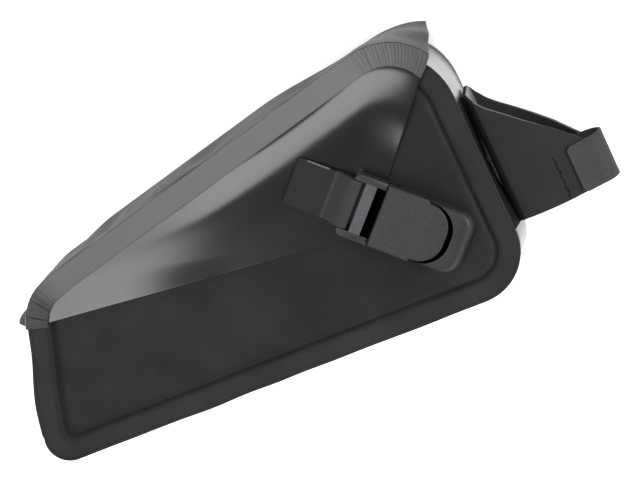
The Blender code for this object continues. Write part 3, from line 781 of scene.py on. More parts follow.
def wall(piece, thickness, side, edge=0.3 * MM, rim_material=0, even=True):
    """Gives a surface its wall, with softly rounded edges."""
    solid = piece.modifiers.new("wall", "SOLIDIFY")
    solid.thickness = thickness
    solid.offset = side
    solid.use_even_offset = even
    solid.material_offset_rim = rim_material
    rounded_edges(piece, edge, 2)


def rounded_edges(piece, width, segments, angle=50.0):
    bevel = piece.modifiers.new("rounded edges", "BEVEL")
    bevel.width = width
    bevel.segments = segments
    bevel.limit_method = "ANGLE"
    bevel.angle_limit = math.radians(angle)
    bevel.harden_normals = False


# Side panels


def dent_depth(point):
    depth = 0.0
    for along, down, width, length, bearing, deep in PANEL_DENTS:
        centre = Vector(((along - 0.5) * TOP_LENGTH, -down * REAR_HEIGHT))
        local = turned(point - centre, -math.radians(bearing))
        reach = math.hypot(local.x / (length * TOP_LENGTH), local.y / (width * TOP_LENGTH))
        depth += deep * MM * bump(reach)
    return depth


def nearest_on_middle(point):
    """The nearest point of the line down the panel's middle."""
    corners = inset_corners(FIELD_MIDDLE_INSET)
    start = corners[0].lerp(corners[1], 0.5)
    end = corners[2].lerp(corners[3], 0.5)
    line = end - start
    share = min(max((point - start).dot(line) / line.length_squared, 0.0), 1.0)
    return start + line * share


def pinched(point, height):
    """The body's upper rear edge as the photograph shows it: drawn in towards the floor."""
    reach = bump((point.x - PINCH_PLACE) / PINCH_LENGTH) * smoothstep((-point.y - 0.030) / -0.030)
    return Vector((point.x, point.y - PINCH_DEPTH * reach * smoothstep((PINCH_TOP - height) / PINCH_TOP)))


def make_panel(name, near):
    rings = [(panel_outline(inset * MM), height * MM, inset) for inset, height in PANEL_SECTION]
    last = rings[-1]
    for share in FIELD_FILL:
        rings.append(([p.lerp(nearest_on_middle(p), share) for p in last[0]], last[1], last[2]))
    outwards = 1.0 if near else -1.0
    margin_z = NEAR_MARGIN_Z if near else FAR_MARGIN_Z
    rows = []
    for points, height, inset in rings:
        row = []
        inner = smoothstep((inset - 14.0) / 8.0)
        for point in points:
            relief = height
            if near:
                relief -= inner * (dent_depth(point) + 0.28 * MM * (1.0 + wobble(point.x, point.y, 0.035)))
                uneven = 0.10 * MM * (1.0 + wobble(point.x, point.y, 0.012, 4.0))
                relief -= uneven * (1.0 - inner) * smoothstep(inset / 3.0)
            else:
                relief = min(relief, FIELD_RISE)
                point = pinched(point, 0.0)
            row.append((point.x, point.y, margin_z + outwards * relief))
        rows.append(row)
    mesh = surface_mesh(name, rows, flat_uvs(rows), closed=True, cap=True)
    if not near:
        mesh.flip_normals()
    finishes = [PANEL, PANEL_MARGIN, GUSSET_CLOTH, PANEL_GROOVE_SHADE]
    panel = to_piece(name, mesh, finishes, BODY, [name.replace("_skin", "")])
    margin_rings = sum(1 for inset, _ in PANEL_SECTION if inset * MM < MARGIN - 1.5 * MM) - 1
    for face in panel.data.polygons[: margin_rings * len(rows[0])]:
        face.material_index = finishes.index(PANEL_MARGIN)
    # The groove's rings get the darker copy of the panel cloth: painted shade in the groove.
    insets = [inset * MM for inset, _ in PANEL_SECTION]
    groove_rings = [i for i, inset in enumerate(insets) if GROOVE_START <= inset <= GROOVE_END]
    for face in panel.data.polygons[groove_rings[0] * len(rows[0]) : groove_rings[-1] * len(rows[0])]:
        face.material_index = finishes.index(PANEL_GROOVE_SHADE)
    wall(panel, CLOTH, -1.0, rim_material=0 if near else 1, even=False)
    return panel


def make_gusset():
    """The band round the body, with the far seam's raised flange and soft waves."""
    path = side_path(GUSSET_INSET)
    normals = path_normals(path)
    lengths = path_lengths(path)
    low = FAR_MARGIN_Z + CLOTH + GAP
    high = NEAR_MARGIN_Z - CLOTH - GAP
    depth_steps = 26
    rows, uvs = [], []
    for j in range(depth_steps + 1):
        depth = j / depth_steps
        row, uv_row = [], []
        for point, normal, travelled in zip(path, normals, lengths):
            free = smoothstep((-point.y - 0.015) / 0.030)
            slack = math.sin(math.pi * depth) ** 0.7 if 0.0 < depth < 1.0 else 0.0
            wave = GUSSET_WAVE * math.sin(2.0 * math.pi * travelled / GUSSET_WAVE_LENGTH)
            wave += 0.5 * MM * wobble(travelled, depth * 0.05, 0.018)
            bulge = GUSSET_BULGE * bump((point - GUSSET_BULGE_PLACE).length / GUSSET_BULGE_REACH)
            flange = -GUSSET_FLANGE_RISE * smoothstep((depth - 0.20) / 0.03)
            flange *= smoothstep((0.97 - depth) / 0.1)
            height = low + depth * (high - low)
            out = slack * (free * (GUSSET_BOW + wave) + bulge) + flange
            place = pinched(point - normal * out, height)
            row.append((place.x, place.y, height))
            uv_row.append((travelled, depth * (high - low)))
        rows.append(row)
        uvs.append(uv_row)
    mesh = surface_mesh("gusset_skin", rows, uvs)
    finishes = [GUSSET_CLOTH, PAINTED_SHADOW_CLOTH, GUSSET_FLANGE]
    gusset = to_piece("gusset_skin", mesh, finishes, BODY, ["gusset"])
    for face in gusset.data.polygons[: round(GUSSET_FLANGE_SHARE * depth_steps) * (len(path) - 1)]:
        face.material_index = finishes.index(GUSSET_FLANGE)
    # Painted shadow: the gusset's faces behind the strap's near wing get the near-black cloth.
    inverse = STRAP.inverted()
    for face in gusset.data.polygons:
        place = inverse @ face.center
        if -STRAP_BASE_HEIGHT < place.y < 0.0 and place.z > STRAP_BASE_WIDTH / 4 and place.x > -0.02:
            face.material_index = finishes.index(PAINTED_SHADOW_CLOTH)
    wall(gusset, CLOTH, -1.0)
    return gusset


# Lid


def make_hood():
    low, high = FAR_MARGIN_Z, FLAP_TOP_Z
    depth_steps = 34
    rows, uvs = [], []
    for j in range(depth_steps + 1):
        depth = j / depth_steps
        sweep = LID_REAR_SWEEP_FAR + (LID_REAR_SWEEP_NEAR - LID_REAR_SWEEP_FAR) * depth
        path = eased_front(lid_path(0.0, sweep), FRONT_EASE)
        row, uv_row = [], []
        places = zip(path, path_normals(path), path_shares(path), path_lengths(path))
        for point, normal, along, travelled in places:
            slack = math.sin(math.pi * depth) ** 2
            wave = sum(deep * MM * bump((along - place) / width) for place, width, deep in HOOD_WAVES)
            wave += 0.35 * MM * wobble(travelled, depth * 0.055, 0.014, 2.0)
            height = low + depth * (high - low)
            front = HOOD_FRONT_TIP * bump(along / 0.045) * bump((depth - 0.78) / 0.20)
            rear = 1.6 * MM * bump((1.0 - along) / 0.14) * bump((depth - 0.45) / 0.30)
            rear += HOOD_TIP * max((along - 0.88) / 0.12, 0.0) ** 1.7 * (1.0 - depth) ** 1.2
            lens = sum(bump((along - place) / width) for place, width in HOOD_VALLEYS)
            valley = HOOD_VALLEY_DEPTH * min(lens, 1.0) * bump((depth - 0.90) / 0.13)
            tuck = HOOD_FRONT_TUCK * bump((along - 0.13) / 0.11) * (1.0 - depth)
            place = pinched(point + normal * (front + rear - wave * slack - valley - tuck), height)
            row.append((place.x, place.y, height))
            uv_row.append((travelled, depth * (high - low)))
        rows.append(row)
        uvs.append(uv_row)
    mesh = surface_mesh("hood_skin", rows, uvs)
    mesh.flip_normals()
    hood = to_piece("hood_skin", mesh, [HOOD_CLOTH, PAINTED_SHADOW_CLOTH], BODY, ["lid_hood"])
    # Painted shadow: the top row of faces, right under the strip, gets the near-black cloth.
    for face in hood.data.polygons[-(len(rows[0]) - 1) :]:
        face.material_index = 1
    wall(hood, CLOTH, -1.0)
    return hood


def make_flap():
    border = lid_path(CLOTH + GAP, LID_REAR_SWEEP_NEAR)
    shares = path_shares(border)
    apex = Vector((TOP_LENGTH / 2 - FLAP_APEX_TO_REAR, -FLAP_HEIGHT))
    to_front = (border[0] - apex).normalized()
    to_rear = (border[-1] - apex).normalized()
    half_angle = to_front.angle(to_rear) / 2
    centre = apex + (to_front + to_rear).normalized() * (FLAP_APEX_RADIUS / math.sin(half_angle))
    turn = math.pi - 2.0 * half_angle
    away = turned(-(to_front + to_rear).normalized(), -turn / 2)
    tip = [centre + turned(away, turn * share) * FLAP_APEX_RADIUS for share in shares]
    down_steps = 54
    rows = []
    for j in range(down_steps + 1):
        down = j / down_steps
        row = []
        for start, end, share in zip(border, tip, shares):
            point = start.lerp(end, down)
            travelled = (point - start).length
            curl = smoothstep((share - FLAP_CURL_START) / (1 - FLAP_CURL_START))
            lift = FLAP_CURL * curl * bump((down - 0.36) / 0.40)
            from_strip = min(max((travelled - STRIP_WIDTH) / FLAP_ROLL_REACH, 0.0), 1.0)
            free = smoothstep((0.62 - down) / 0.34)
            full = smoothstep((point.x - FLAP_ROLL_FADE[0]) / (FLAP_ROLL_FADE[1] - FLAP_ROLL_FADE[0]))
            lift += FLAP_ROLL * (1.0 - (1.0 - from_strip) ** 2) * free * full
            row.append((point.x, point.y, FLAP_TOP_Z + lift))
        rows.append(row)
    mesh = surface_mesh("flap_skin", rows, flat_uvs(rows))
    mesh.flip_normals()
    flap = to_piece("flap_skin", mesh, [FLAP_CLOTH], BODY, ["lid_flap"])
    wall(flap, CLOTH, -1.0, 0.25 * MM)
    return flap


def make_strip():
    low = FLAP_TOP_Z + GAP
    across_steps = 12
    outer_lengths = path_lengths(eased_front(lid_path(0.0, LID_REAR_SWEEP_NEAR), FRONT_EASE))
    rows, uvs = [], []
    for j in range(across_steps + 1):
        across = j / across_steps
        sweep = LID_REAR_SWEEP_NEAR + 0.08 * across
        path = eased_front(lid_path(across * STRIP_WIDTH, sweep), FRONT_EASE)
        row, uv_row = [], []
        for i, (point, travelled) in enumerate(zip(path, outer_lengths)):
            lift = 0.0
            from_end = len(path) - 1 - i
            if i <= LID_ARC_STEPS:
                for place, width, tall in FRONT_PLEATS:
                    lift += tall * MM * bump((i / LID_ARC_STEPS - place) / width)
            if from_end <= LID_ARC_STEPS:
                for place, width, tall in REAR_PLEATS:
                    lift += tall * MM * bump((from_end / LID_ARC_STEPS - place) / width)
            lift *= math.sin(math.pi * (0.12 + 0.76 * across))
            lift += 0.10 * MM * (1.0 + wobble(point.x, point.y, 0.010, 3.0))
            row.append((point.x, point.y, low + lift))
            uv_row.append((travelled, across * STRIP_WIDTH))
        rows.append(row)
        uvs.append(uv_row)
    mesh = surface_mesh("strip_skin", rows, uvs)
    strip = to_piece("strip_skin", mesh, [STRIP_CLOTH], BODY, ["lid_strip"])
    wall(strip, STRIP_THICKNESS, -1.0)
    return strip


# Webbing and buckle


def smooth_path(points, step):
    """Points a step apart on a smooth curve through the given ones."""
    made = []
    for i in range(len(points) - 1):
        p0 = points[max(i - 1, 0)]
        p1, p2 = points[i], points[i + 1]
        p3 = points[min(i + 2, len(points) - 1)]
        count = max(1, round((p2 - p1).length / step))
        for k in range(count):
            t = k / count
            a = 2.0 * p1
            b = (p2 - p0) * t
            c = (2.0 * p0 - 5.0 * p1 + 4.0 * p2 - p3) * t * t
            d = (3.0 * p1 - p0 - 3.0 * p2 + p3) * t * t * t
            made.append((a + b + c + d) * 0.5)
    return made + [points[-1]]


def webbing_profile():
    lower = FLAP_TOP_HEIGHT + GAP + WEBBING_THICKNESS / 2
    step = WEBBING_THICKNESS + GAP
    rising = HEM_START + 0.45 * (CROSSBAR_X - HEM_START)
    path = [Vector((HEM_START, lower)), Vector((rising, lower + 0.1 * step))]
    for i in range(9):
        angle = -math.pi / 2 + math.pi * i / 8
        path.append(Vector((CROSSBAR_X, CROSSBAR_HEIGHT)) + turned(Vector((WRAP_RADIUS, 0.0)), angle))
    top = path[-1]
    landing = Vector((HEM_START, lower + step))
    for share, fall in ((0.25, 0.12), (0.5, 0.48), (0.75, 0.85)):
        path.append(Vector((top.x + share * (landing.x - top.x), top.y + fall * (landing.y - top.y))))
    path += [landing, Vector((HEM_END + step, lower + step))]
    for i in range(1, 6):
        angle = math.pi / 2 + math.pi * i / 6
        path.append(Vector((HEM_END + step, lower + step / 2)) + turned(Vector((step / 2, 0.0)), angle))
    path += [Vector((HEM_END + step, lower)), Vector((HEM_START - 2 * WEBBING_THICKNESS, lower))]
    return smooth_path(path, 0.5 * MM)


def strip_of_webbing(name, path, matrix, low_edge, high_edge, materials, replaced):
    """A strap along a path of (out, up), between two edges that may change along it."""
    lengths = path_lengths(path)
    across_steps = 12
    rows, uvs = [], []
    for j in range(across_steps + 1):
        share = j / across_steps
        row, uv_row = [], []
        for i, (point, travelled) in enumerate(zip(path, lengths)):
            across = low_edge(i) + (high_edge(i) - low_edge(i)) * share
            row.append((point.x, across, point.y))
            uv_row.append((travelled, across))
        rows.append(row)
        uvs.append(uv_row)
    mesh = surface_mesh(name, rows, uvs)
    strap = to_piece(name, mesh, materials, matrix, replaced)
    wall(strap, WEBBING_THICKNESS, 0.0, 0.35 * MM)
    return strap


def make_flap_webbing():
    """The webbing round the crossbar, with a darker folded hem that has rounded corners."""
    half = WEBBING_WIDTH / 2
    path = webbing_profile()

    def edge(i):
        from_corner = max(HEM_CORNER - (path[i].x - HEM_END), 0.0) / HEM_CORNER
        return half - HEM_CORNER * (1.0 - math.sqrt(max(1.0 - from_corner ** 2, 0.0)))

    webbing = strip_of_webbing(
        "flap_webbing_skin",
        path,
        BUCKLE,
        lambda i: -edge(i),
        edge,
        [WEBBING, HEM_CLOTH],
        ["flap_webbing"],
    )
    inverse = BUCKLE.inverted()
    for face in webbing.data.polygons:
        if (inverse @ face.center).x < HEM_START:
            face.material_index = 1


def tube(name, paths, radius, item, matrix):
    """Threads along paths, as one mesh."""
    curve = bpy.data.curves.new(name, "CURVE")
    curve.dimensions = "3D"
    curve.bevel_depth = radius
    curve.bevel_resolution = 1
    curve.use_fill_caps = True
    for path in paths:
        spline = curve.splines.new("POLY")
        spline.points.add(len(path) - 1)
        for point, place in zip(spline.points, path):
            point.co = (*place, 1.0)
    holder = bpy.data.objects.new(name, curve)
    bpy.context.scene.collection.objects.link(holder)
    graph = bpy.context.evaluated_depsgraph_get()
    mesh = bpy.data.meshes.new_from_object(holder.evaluated_get(graph))
    bpy.data.objects.remove(holder)
    mesh.name = name
    mesh.shade_smooth()
    return to_piece(name, mesh, [item], matrix)


def make_hem_stitches():
    """The pale zigzag over the hem's upper edge."""
    top = FLAP_TOP_HEIGHT + GAP + 2 * WEBBING_THICKNESS + GAP + 0.12 * MM
    edge = WEBBING_WIDTH / 2
    zigzag = []
    count = 17
    for i in range(count + 1):
        x = HEM_END + 5.5 * MM + (HEM_LENGTH - 9.0 * MM) * i / count
        y = edge + (0.20 if i % 2 else -0.45) * MM
        zigzag.append((x, y, top + (-0.45 if i % 2 else 0.0) * MM))
    tube("hem_zigzag", [zigzag], 0.14 * MM, PALE_THREAD, BUCKLE)


def rounded_end_outline(start, end, half_width, start_radius, end_radius, steps, inset=0.0):
    """A rectangle along +X with its own corner radius at each end, moved in by inset."""
    made = []
    start, end, half_width = start + inset, end - inset, half_width - inset
    start_radius = max(start_radius - inset, 0.2 * MM)
    end_radius = max(end_radius - inset, 0.2 * MM)
    for centre_x, side, radius, first in (
        (end - end_radius, 1.0, end_radius, 0.0),
        (start + start_radius, 1.0, start_radius, 90.0),
        (start + start_radius, -1.0, start_radius, 180.0),
        (end - end_radius, -1.0, end_radius, 270.0),
    ):
        centre = Vector((centre_x, side * (half_width - radius)))
        for i in range(steps + 1):
            angle = math.radians(first + 90.0 * i / steps)
            made.append(centre + radius * Vector((math.cos(angle), math.sin(angle))))
    return made


def stacked_mesh(name, section, outline_at):
    """A mesh whose side follows a section of (inset, height), closed below and above."""
    bm = bmesh.new()
    rings = [[bm.verts.new((p.x, p.y, height)) for p in outline_at(inset)] for inset, height in section]
    for low, high in zip(rings, rings[1:]):
        for i in range(len(low)):
            j = (i + 1) % len(low)
            bm.faces.new((low[i], low[j], high[j], high[i]))
    bm.faces.new(rings[-1])
    bm.faces.new(rings[0][::-1])
    bmesh.ops.recalc_face_normals(bm, faces=bm.faces)
    mesh = bpy.data.meshes.new(name)
    bm.to_mesh(mesh)
    bm.free()
    return mesh


def make_cover():
    top = COVER_BOTTOM + COVER_THICKNESS

    def outline_at(inset):
        tail = BUCKLE_HALF_WIDTH - COVER_NOTCH_DEPTH
        radii = (0.9 * MM, COVER_END_RADIUS)
        head = rounded_end_outline(COVER_START, COVER_END, BUCKLE_HALF_WIDTH, *radii, 14, inset)
        end = rounded_end_outline(COVER_START, COVER_END, tail, *radii, 14, inset)
        wide = Vector((COVER_START + COVER_NOTCH - inset, BUCKLE_HALF_WIDTH - inset))
        narrow = Vector((COVER_START + COVER_NOTCH + COVER_NOTCH_LENGTH - inset, tail - inset))
        quarter = len(end) // 4
        upper = end[:quarter] + [narrow, wide] + head[quarter : 2 * quarter]
        notch = [Vector((p.x, -p.y)) for p in (wide, narrow)]
        return upper + head[2 * quarter : 3 * quarter] + notch + end[3 * quarter :]

    section = [
        (0.5 * MM, COVER_BOTTOM),
        (0.1 * MM, COVER_BOTTOM + 0.3 * MM),
        (0.0, COVER_BOTTOM + 0.9 * MM),
    ]
    edge = 1.1 * MM
    for i in range(7):
        angle = math.pi / 2 * i / 6
        section.append((edge * (1 - math.cos(angle)), top - 0.35 * MM - edge * (1 - math.sin(angle))))
    for inset, height in ((2.0, -0.28), (4.0, -0.20), (7.0, -0.10)):
        section.append((inset * MM, top + height * MM))
    mesh = stacked_mesh("cover_skin", section, outline_at)
    mesh.shade_smooth()
    mesh.set_sharp_from_angle(angle=math.radians(42.0))
    return to_piece("cover_skin", mesh, [PLASTIC], BUCKLE, ["buckle_cover"])


def rectangle(start, end, half_width):
    corners = ((start, -half_width), (end, -half_width), (end, half_width), (start, half_width))
    return [Vector(corner) for corner in corners]


def plate(name, outline_points, low, high, item):
    bm = bmesh.new()
    face = bm.faces.new([bm.verts.new((*point, low)) for point in outline_points])
    raised = bmesh.ops.extrude_face_region(bm, geom=[face])
    top = [v for v in raised["geom"] if isinstance(v, bmesh.types.BMVert)]
    bmesh.ops.translate(bm, vec=(0.0, 0.0, high - low), verts=top)
    bmesh.ops.recalc_face_normals(bm, faces=bm.faces)
    mesh = bpy.data.meshes.new(name)
    bm.to_mesh(mesh)
    bm.free()
    mesh.materials.append(item)
    return mesh


def boolean(mesh, other, operation):
    """The first mesh joined with or cut by the second, as a new mesh."""
    first = bpy.data.objects.new("first", mesh)
    second = bpy.data.objects.new("second", other)
    for item in (first, second):
        bpy.context.scene.collection.objects.link(item)
    step = first.modifiers.new("step", "BOOLEAN")
    step.operation = operation
    step.object = second
    graph = bpy.context.evaluated_depsgraph_get()
    made = bpy.data.meshes.new_from_object(first.evaluated_get(graph))
    bpy.data.objects.remove(first)
    bpy.data.objects.remove(second)
    return made


def make_frame():
    """The open frame: two arms, the middle bar and the round crossbar."""
    arm, slot, radius = BUCKLE_HALF_WIDTH, SLOT_HALF_WIDTH, FRAME_CORNER
    half = [Vector((FRAME_END, arm))]
    for i in range(9):
        corner = Vector((FRAME_START + radius, arm - radius))
        half.append(corner + turned(Vector((radius, 0.0)), math.radians(90.0 + 90.0 * i / 8)))
    half += [Vector((FRAME_START, slot)), Vector((MIDDLE_BAR_START, slot))]
    inner = [Vector((MIDDLE_BAR_END, slot)), Vector((FRAME_END, slot))]
    mirrored = [Vector((p.x, -p.y)) for p in half[::-1]]
    mirrored_inner = [Vector((p.x, -p.y)) for p in inner[::-1]]
    points = half + mirrored + mirrored_inner + inner
    body = plate("frame_skin", points, FRAME_SKIRT, BUCKLE_LIFT + FRAME_THICKNESS, FRAME_PLASTIC)
    at_crossbar = Matrix.Translation((CROSSBAR_X, 0.0, CROSSBAR_HEIGHT))
    bm = bmesh.new()
    bmesh.ops.create_cone(
        bm,
        cap_ends=True,
        segments=28,
        radius1=CROSSBAR_RADIUS,
        radius2=CROSSBAR_RADIUS,
        depth=2 * slot + FRAME_ARM,
        matrix=at_crossbar @ Matrix.Rotation(math.pi / 2, 4, "X"),
    )
    bar = bpy.data.meshes.new("crossbar")
    bm.to_mesh(bar)
    bm.free()
    mesh = boolean(body, bar, "UNION")
    # A floor closing the slot from below; it and the slot's walls get the near-black plastic further down,
    # as painted shade.
    floor = rectangle(MIDDLE_BAR_START, COVER_START, slot)
    mesh = boolean(mesh, plate("floor", floor, FRAME_SKIRT, FRAME_SKIRT + 0.6 * MM, FRAME_PLASTIC), "UNION")
    bm = bmesh.new()
    bm.from_mesh(mesh)
    for side in (-slot, slot):
        geometry = bm.verts[:] + bm.edges[:] + bm.faces[:]
        bmesh.ops.bisect_plane(bm, geom=geometry, plane_co=(0.0, side, 0.0), plane_no=(0.0, 1.0, 0.0))
    bm.to_mesh(mesh)
    bm.free()
    mesh.materials.clear()
    mesh.shade_smooth()
    finishes = [ARM_PLASTIC, FRAME_PLASTIC, PAINTED_SHADE_PLASTIC]
    frame_piece = to_piece("frame_skin", mesh, finishes, BUCKLE, ["buckle_frame"])
    mesh.transform(BUCKLE.inverted())
    for face in mesh.polygons:
        centre = face.center
        inside = abs(centre.y) < SLOT_HALF_WIDTH + 0.1 * MM
        on_bar = MIDDLE_BAR_START - 1.0 * MM < centre.x < MIDDLE_BAR_END + 1.0 * MM
        face.material_index = finishes.index(FRAME_PLASTIC if on_bar and inside else ARM_PLASTIC)
        # Painted shade: the slot's low and upright faces from the middle bar on get the near-black plastic.
        if inside and (centre.z < BUCKLE_LIFT or abs(face.normal.z) < 0.5) and centre.x > MIDDLE_BAR_START:
            face.material_index = finishes.index(PAINTED_SHADE_PLASTIC)
    mesh.transform(BUCKLE)
    rounded_edges(frame_piece, 0.7 * MM, 4, 40.0)
    return frame_piece


def make_catch():
    """The plate under the cover, with a sloped rim round the cover's rounded end."""
    end = COVER_END + CATCH_MOAT + CATCH_RIM

    def outline_at(inset):
        half_width = BUCKLE_HALF_WIDTH - CATCH_SIDE_SLOPE * inset
        radius = CATCH_END_RADIUS - CATCH_SIDE_SLOPE * inset
        return rounded_end_outline(CATCH_START + inset, end - inset, half_width, 1.0 * MM, radius, 14)

    section = [(0.3 * MM, GAP), (0.0, GAP + 0.4 * MM), (0.0, 2.2 * MM)]
    for i in range(1, 10):
        angle = math.pi / 2 * i / 9
        rise = (CATCH_RIM_HEIGHT - 2.2 * MM) * math.sin(angle)
        section.append((4.6 * MM * (1 - math.cos(angle)), 2.2 * MM + rise))
    section += [(6.5 * MM, CATCH_RIM_HEIGHT + 0.25 * MM), (9.0 * MM, CATCH_RIM_HEIGHT + 0.3 * MM)]
    body = stacked_mesh("catch_skin", section, outline_at)
    pocket = rounded_end_outline(
        COVER_START - 2 * CATCH_MOAT,
        COVER_END + CATCH_MOAT,
        BUCKLE_HALF_WIDTH - CATCH_SIDE_WALL,
        1.0 * MM,
        COVER_END_RADIUS + 0.5 * CATCH_MOAT,
        16,
    )
    cutter = plate("pocket", pocket, CATCH_FLOOR, 2 * CATCH_RIM_HEIGHT, PLASTIC)
    mesh = boolean(body, cutter, "DIFFERENCE")
    low, high = CATCH_START - CATCH_MOAT, COVER_START + COVER_NOTCH + COVER_NOTCH_LENGTH / 2
    side = BUCKLE_HALF_WIDTH + CATCH_MOAT
    step = plate("step", rectangle(low, high, side), COVER_BOTTOM - GAP, 2 * CATCH_RIM_HEIGHT, PLASTIC)
    mesh = boolean(mesh, step, "DIFFERENCE")
    mesh.materials.clear()
    mesh.shade_smooth()
    mesh.set_sharp_from_angle(angle=math.radians(40.0))
    finishes = [ARM_PLASTIC, PAINTED_SHADE_PLASTIC]
    catch = to_piece("catch_skin", mesh, finishes, BUCKLE, ["buckle_catch"])
    inverse = BUCKLE.inverted()
    # Painted shade: the moat's lower faces get the near-black plastic.
    for face in catch.data.polygons:
        centre = inverse @ face.center
        before_end = centre.x < COVER_END + CATCH_MOAT + 0.1 * MM
        in_moat = before_end and abs(centre.y) < BUCKLE_HALF_WIDTH - 0.5 * MM
        if in_moat and centre.z < CATCH_RIM_HEIGHT - 2.0 * MM:
            face.material_index = finishes.index(PAINTED_SHADE_PLASTIC)
    rounded_edges(catch, 0.35 * MM, 3, 60.0)
    return catch


# Seat tube strap


def wing_spread(share):
    return read_table(WING_SPREAD, share) * STRAP_BASE_WIDTH / 2


def strap_profile():
    wing = [Vector((STRAP_BASE_OUT + share * WING_LENGTH, wing_spread(share))) for share, _ in WING_SPREAD]
    corner = Vector((STRAP_BASE_OUT, STRAP_BASE_WIDTH / 2))
    radius = STRAP_FOLD_RADIUS
    centre = corner + Vector((radius, -radius))
    fold = [centre + turned(Vector((0.0, radius)), math.radians(22.5 * i)) for i in range(5)]
    half = smooth_path(wing[::-1] + fold, 1.2 * MM)
    return half, [Vector((point.x, -point.y)) for point in half[::-1]]


def make_seat_strap():
    near, far = strap_profile()
    profile = near + divided(near[-1], far[0], 14) + far
    drop = STRAP_BASE_HEIGHT - WEBBING_WIDTH
    lengths = path_lengths(profile)
    across_steps = 40
    rows, uvs = [], []
    for j in range(across_steps + 1):
        across = j / across_steps
        row, uv_row = [], []
        for point, travelled in zip(profile, lengths):
            share = (point.x - STRAP_BASE_OUT) / WING_LENGTH
            top = -drop * read_table(WING_EDGE, share)
            if point.y < 0:
                top -= FAR_WING_DROP * smoothstep(share / 0.3)
            y = top + across * (-STRAP_BASE_HEIGHT - top)
            side = 1.0 if point.y > 0 else -1.0
            sag = 0.5 * MM * wobble(travelled, y, 0.020, 5.0) * smoothstep(share / 0.2)
            sag *= smoothstep((0.72 - share) / 0.2)
            row.append((point.x, y, point.y + side * sag))
            uv_row.append((travelled, y))
        rows.append(row)
        uvs.append(uv_row)
    mesh = surface_mesh("seat_strap_skin", rows, uvs)
    finishes = [STRAP_CLOTH, STRAP_EDGE, STRAP_BASE, PAINTED_SHADOW_CLOTH]
    strap = to_piece("seat_strap_skin", mesh, finishes, STRAP, ["seat_strap"])
    inverse = STRAP.inverted()
    for face in strap.data.polygons:
        centre = inverse @ face.center
        if centre.x < STRAP_BASE_OUT + 1.2 * MM:
            face.material_index = finishes.index(STRAP_BASE)
        # Painted shade: the faces in the fold by the strap's base get the near-black cloth.
        in_fold = centre.z > STRAP_BASE_WIDTH / 2 - STRAP_FOLD_RADIUS
        if centre.x < STRAP_BASE_OUT + STRAP_FOLD_RADIUS and in_fold:
            face.material_index = finishes.index(PAINTED_SHADOW_CLOTH)
    wall(strap, STRAP_WALL, 0.0, 0.3 * MM, rim_material=1)
    return strap


def tab_profile():
    clear = STRAP_WALL / 2 + GAP + WEBBING_THICKNESS / 2
    first = 1.0 - STRAP_TAB_OVERLAP / WING_LENGTH
    shares = [first + (1.0 - first) * i / 3 for i in range(4)]
    wing = [Vector((STRAP_BASE_OUT + share * WING_LENGTH, wing_spread(share))) for share in shares]
    normals = path_normals(wing)
    near = [point + normal * clear for point, normal in zip(wing, normals)]
    far = [point - normal * clear for point, normal in zip(wing, normals)]
    far = [Vector((point.x, -point.y)) for point in far]
    middle = (near[-1].y + far[-1].y) / 2
    radius = (near[-1].y - far[-1].y) / 2
    tip = STRAP_BASE_OUT + WING_LENGTH
    reach = STRAP_TAB_REACH - WEBBING_THICKNESS / 2 - tip
    bend = []
    for i in range(1, 20):
        angle = -math.pi / 2 + math.pi * i / 20
        bend.append(Vector((tip + reach * math.cos(angle), middle + radius * math.sin(angle))))
    return smooth_path(far + bend + near[::-1], 1.0 * MM)


def make_strap_tab():
    path = tab_profile()
    last = len(path) - 1

    def clip(i):
        travelled = (path[last] - path[i]).length if i > last - 4 else 1.0
        return STRAP_TAB_CLIP * max(0.0, 1.0 - travelled / STRAP_TAB_CLIP)

    return strip_of_webbing(
        "strap_tab_skin",
        path,
        STRAP,
        lambda i: -STRAP_BASE_HEIGHT + clip(i),
        lambda i: -STRAP_BASE_HEIGHT + WEBBING_WIDTH - clip(i),
        [TAB_WEBBING],
        ["strap_tab"],
    )


def make_wing_stitches():
    """The dark bar of stitches across the near wing, inwards of the tab."""
    out = STRAP_BASE_OUT + WING_STITCHES_SHARE * WING_LENGTH
    up = wing_spread(WING_STITCHES_SHARE) + STRAP_WALL / 2 + 0.10 * MM
    sunk = up - 0.35 * MM
    paths = []
    count = 9
    for i in range(count):
        y = -STRAP_BASE_HEIGHT + (1.2 + i * 2.55) * MM
        x = out + (0.5 if i % 2 else 0.0) * MM
        start, end = y + 0.3 * MM, y + 1.6 * MM
        paths.append([(x, y, sunk), (x, start, up), (x, end, up), (x, y + 1.9 * MM, sunk)])
    tube("wing_stitches", paths, 0.38 * MM, DARK_THREAD, STRAP)


# Surroundings


def make_floor():
    bpy.ops.mesh.primitive_plane_add(size=8.0, location=(0.0, 0.0, -0.0002))
    floor = bpy.context.object
    floor.name = "floor"
    made = Nodes("floor_white")
    made.set(Base_Color=(0.86, 0.86, 0.86, 1.0), Roughness=0.9, Specular_IOR_Level=0.1)
    floor.data.materials.append(made.material)


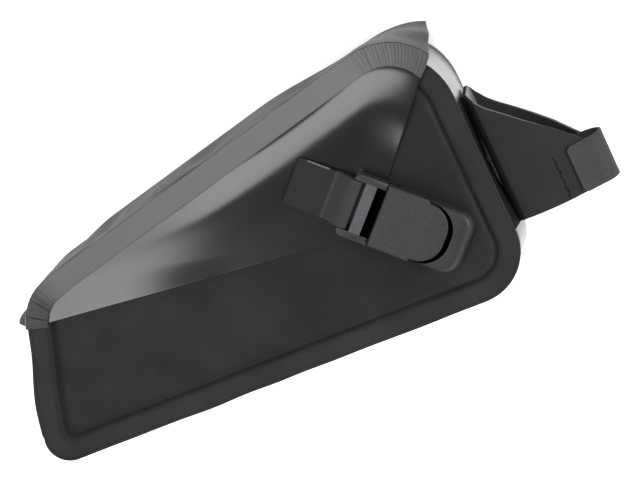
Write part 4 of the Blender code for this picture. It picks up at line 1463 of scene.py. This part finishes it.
def area_light(name, place, target, size, size_y, energy):
    data = bpy.data.lights.new(name, "AREA")
    data.shape = "RECTANGLE"
    data.size = size
    data.size_y = size_y
    data.energy = energy
    light = bpy.data.objects.new(name, data)
    light.location = place
    light.rotation_euler = (Vector(target) - Vector(place)).to_track_quat("-Z", "Y").to_euler()
    bpy.context.scene.collection.objects.link(light)


def make_lights():
    world = bpy.data.worlds.new("studio")
    bpy.context.scene.world = world
    world.use_nodes = True
    background = world.node_tree.nodes["Background"]
    background.inputs["Color"].default_value = (1.0, 1.0, 1.0, 1.0)
    background.inputs["Strength"].default_value = 0.30
    centre = (0.0, 0.0, 0.05)
    area_light("softbox_front", (-0.965, 0.0, 1.5), (-0.965, 0.0, 0.0), 0.85, 1.2, 25.0)
    area_light("softbox_top", (-0.10, 0.44, 1.5), (-0.10, 0.44, 0.0), 0.75, 0.68, 12.5)
    area_light("softbox_rear", (1.15, -0.55, 0.85), centre, 0.8, 0.8, 30.0)
    area_light("softbox_low", (-0.1, -2.0, 1.0), centre, 1.6, 0.9, 34.0)
    area_light("softbox_far", (0.7, 1.9, 0.9), centre, 1.6, 0.9, 40.0)


def make_camera():
    right = turned(Vector((1.0, 0.0)), -TOP_EDGE_TURN)
    up = turned(Vector((0.0, 1.0)), -TOP_EDGE_TURN)
    lean = right * CAMERA_RIGHT + up * CAMERA_UP
    back = Vector((lean.x, lean.y, 1.0)).normalized()
    look_at = ORIGIN + Vector((*LOOK_AT_IN_OUTLINE, NEAR_MARGIN_Z))
    side = Vector((up.x, up.y, 0.0)).cross(back).normalized()
    top = back.cross(side)
    camera = bpy.data.objects.new("camera", bpy.data.cameras.new("camera"))
    axes = Matrix((side, top, back)).transposed().to_4x4()
    camera.matrix_world = Matrix.Translation(look_at + back * CAMERA_DISTANCE) @ axes
    camera.data.lens = LENS
    camera.data.sensor_width = 36.0
    bpy.context.scene.collection.objects.link(camera)
    bpy.context.scene.camera = camera
    bpy.context.scene.view_settings.view_transform = "Standard"


make_camera()
make_floor()
make_lights()
make_panel("near_panel_skin", True)
make_panel("far_panel_skin", False)
make_gusset()
make_hood()
make_flap()
make_strip()
make_flap_webbing()
make_hem_stitches()
make_frame()
make_cover()
make_catch()
make_seat_strap()
make_strap_tab()
make_wing_stitches()
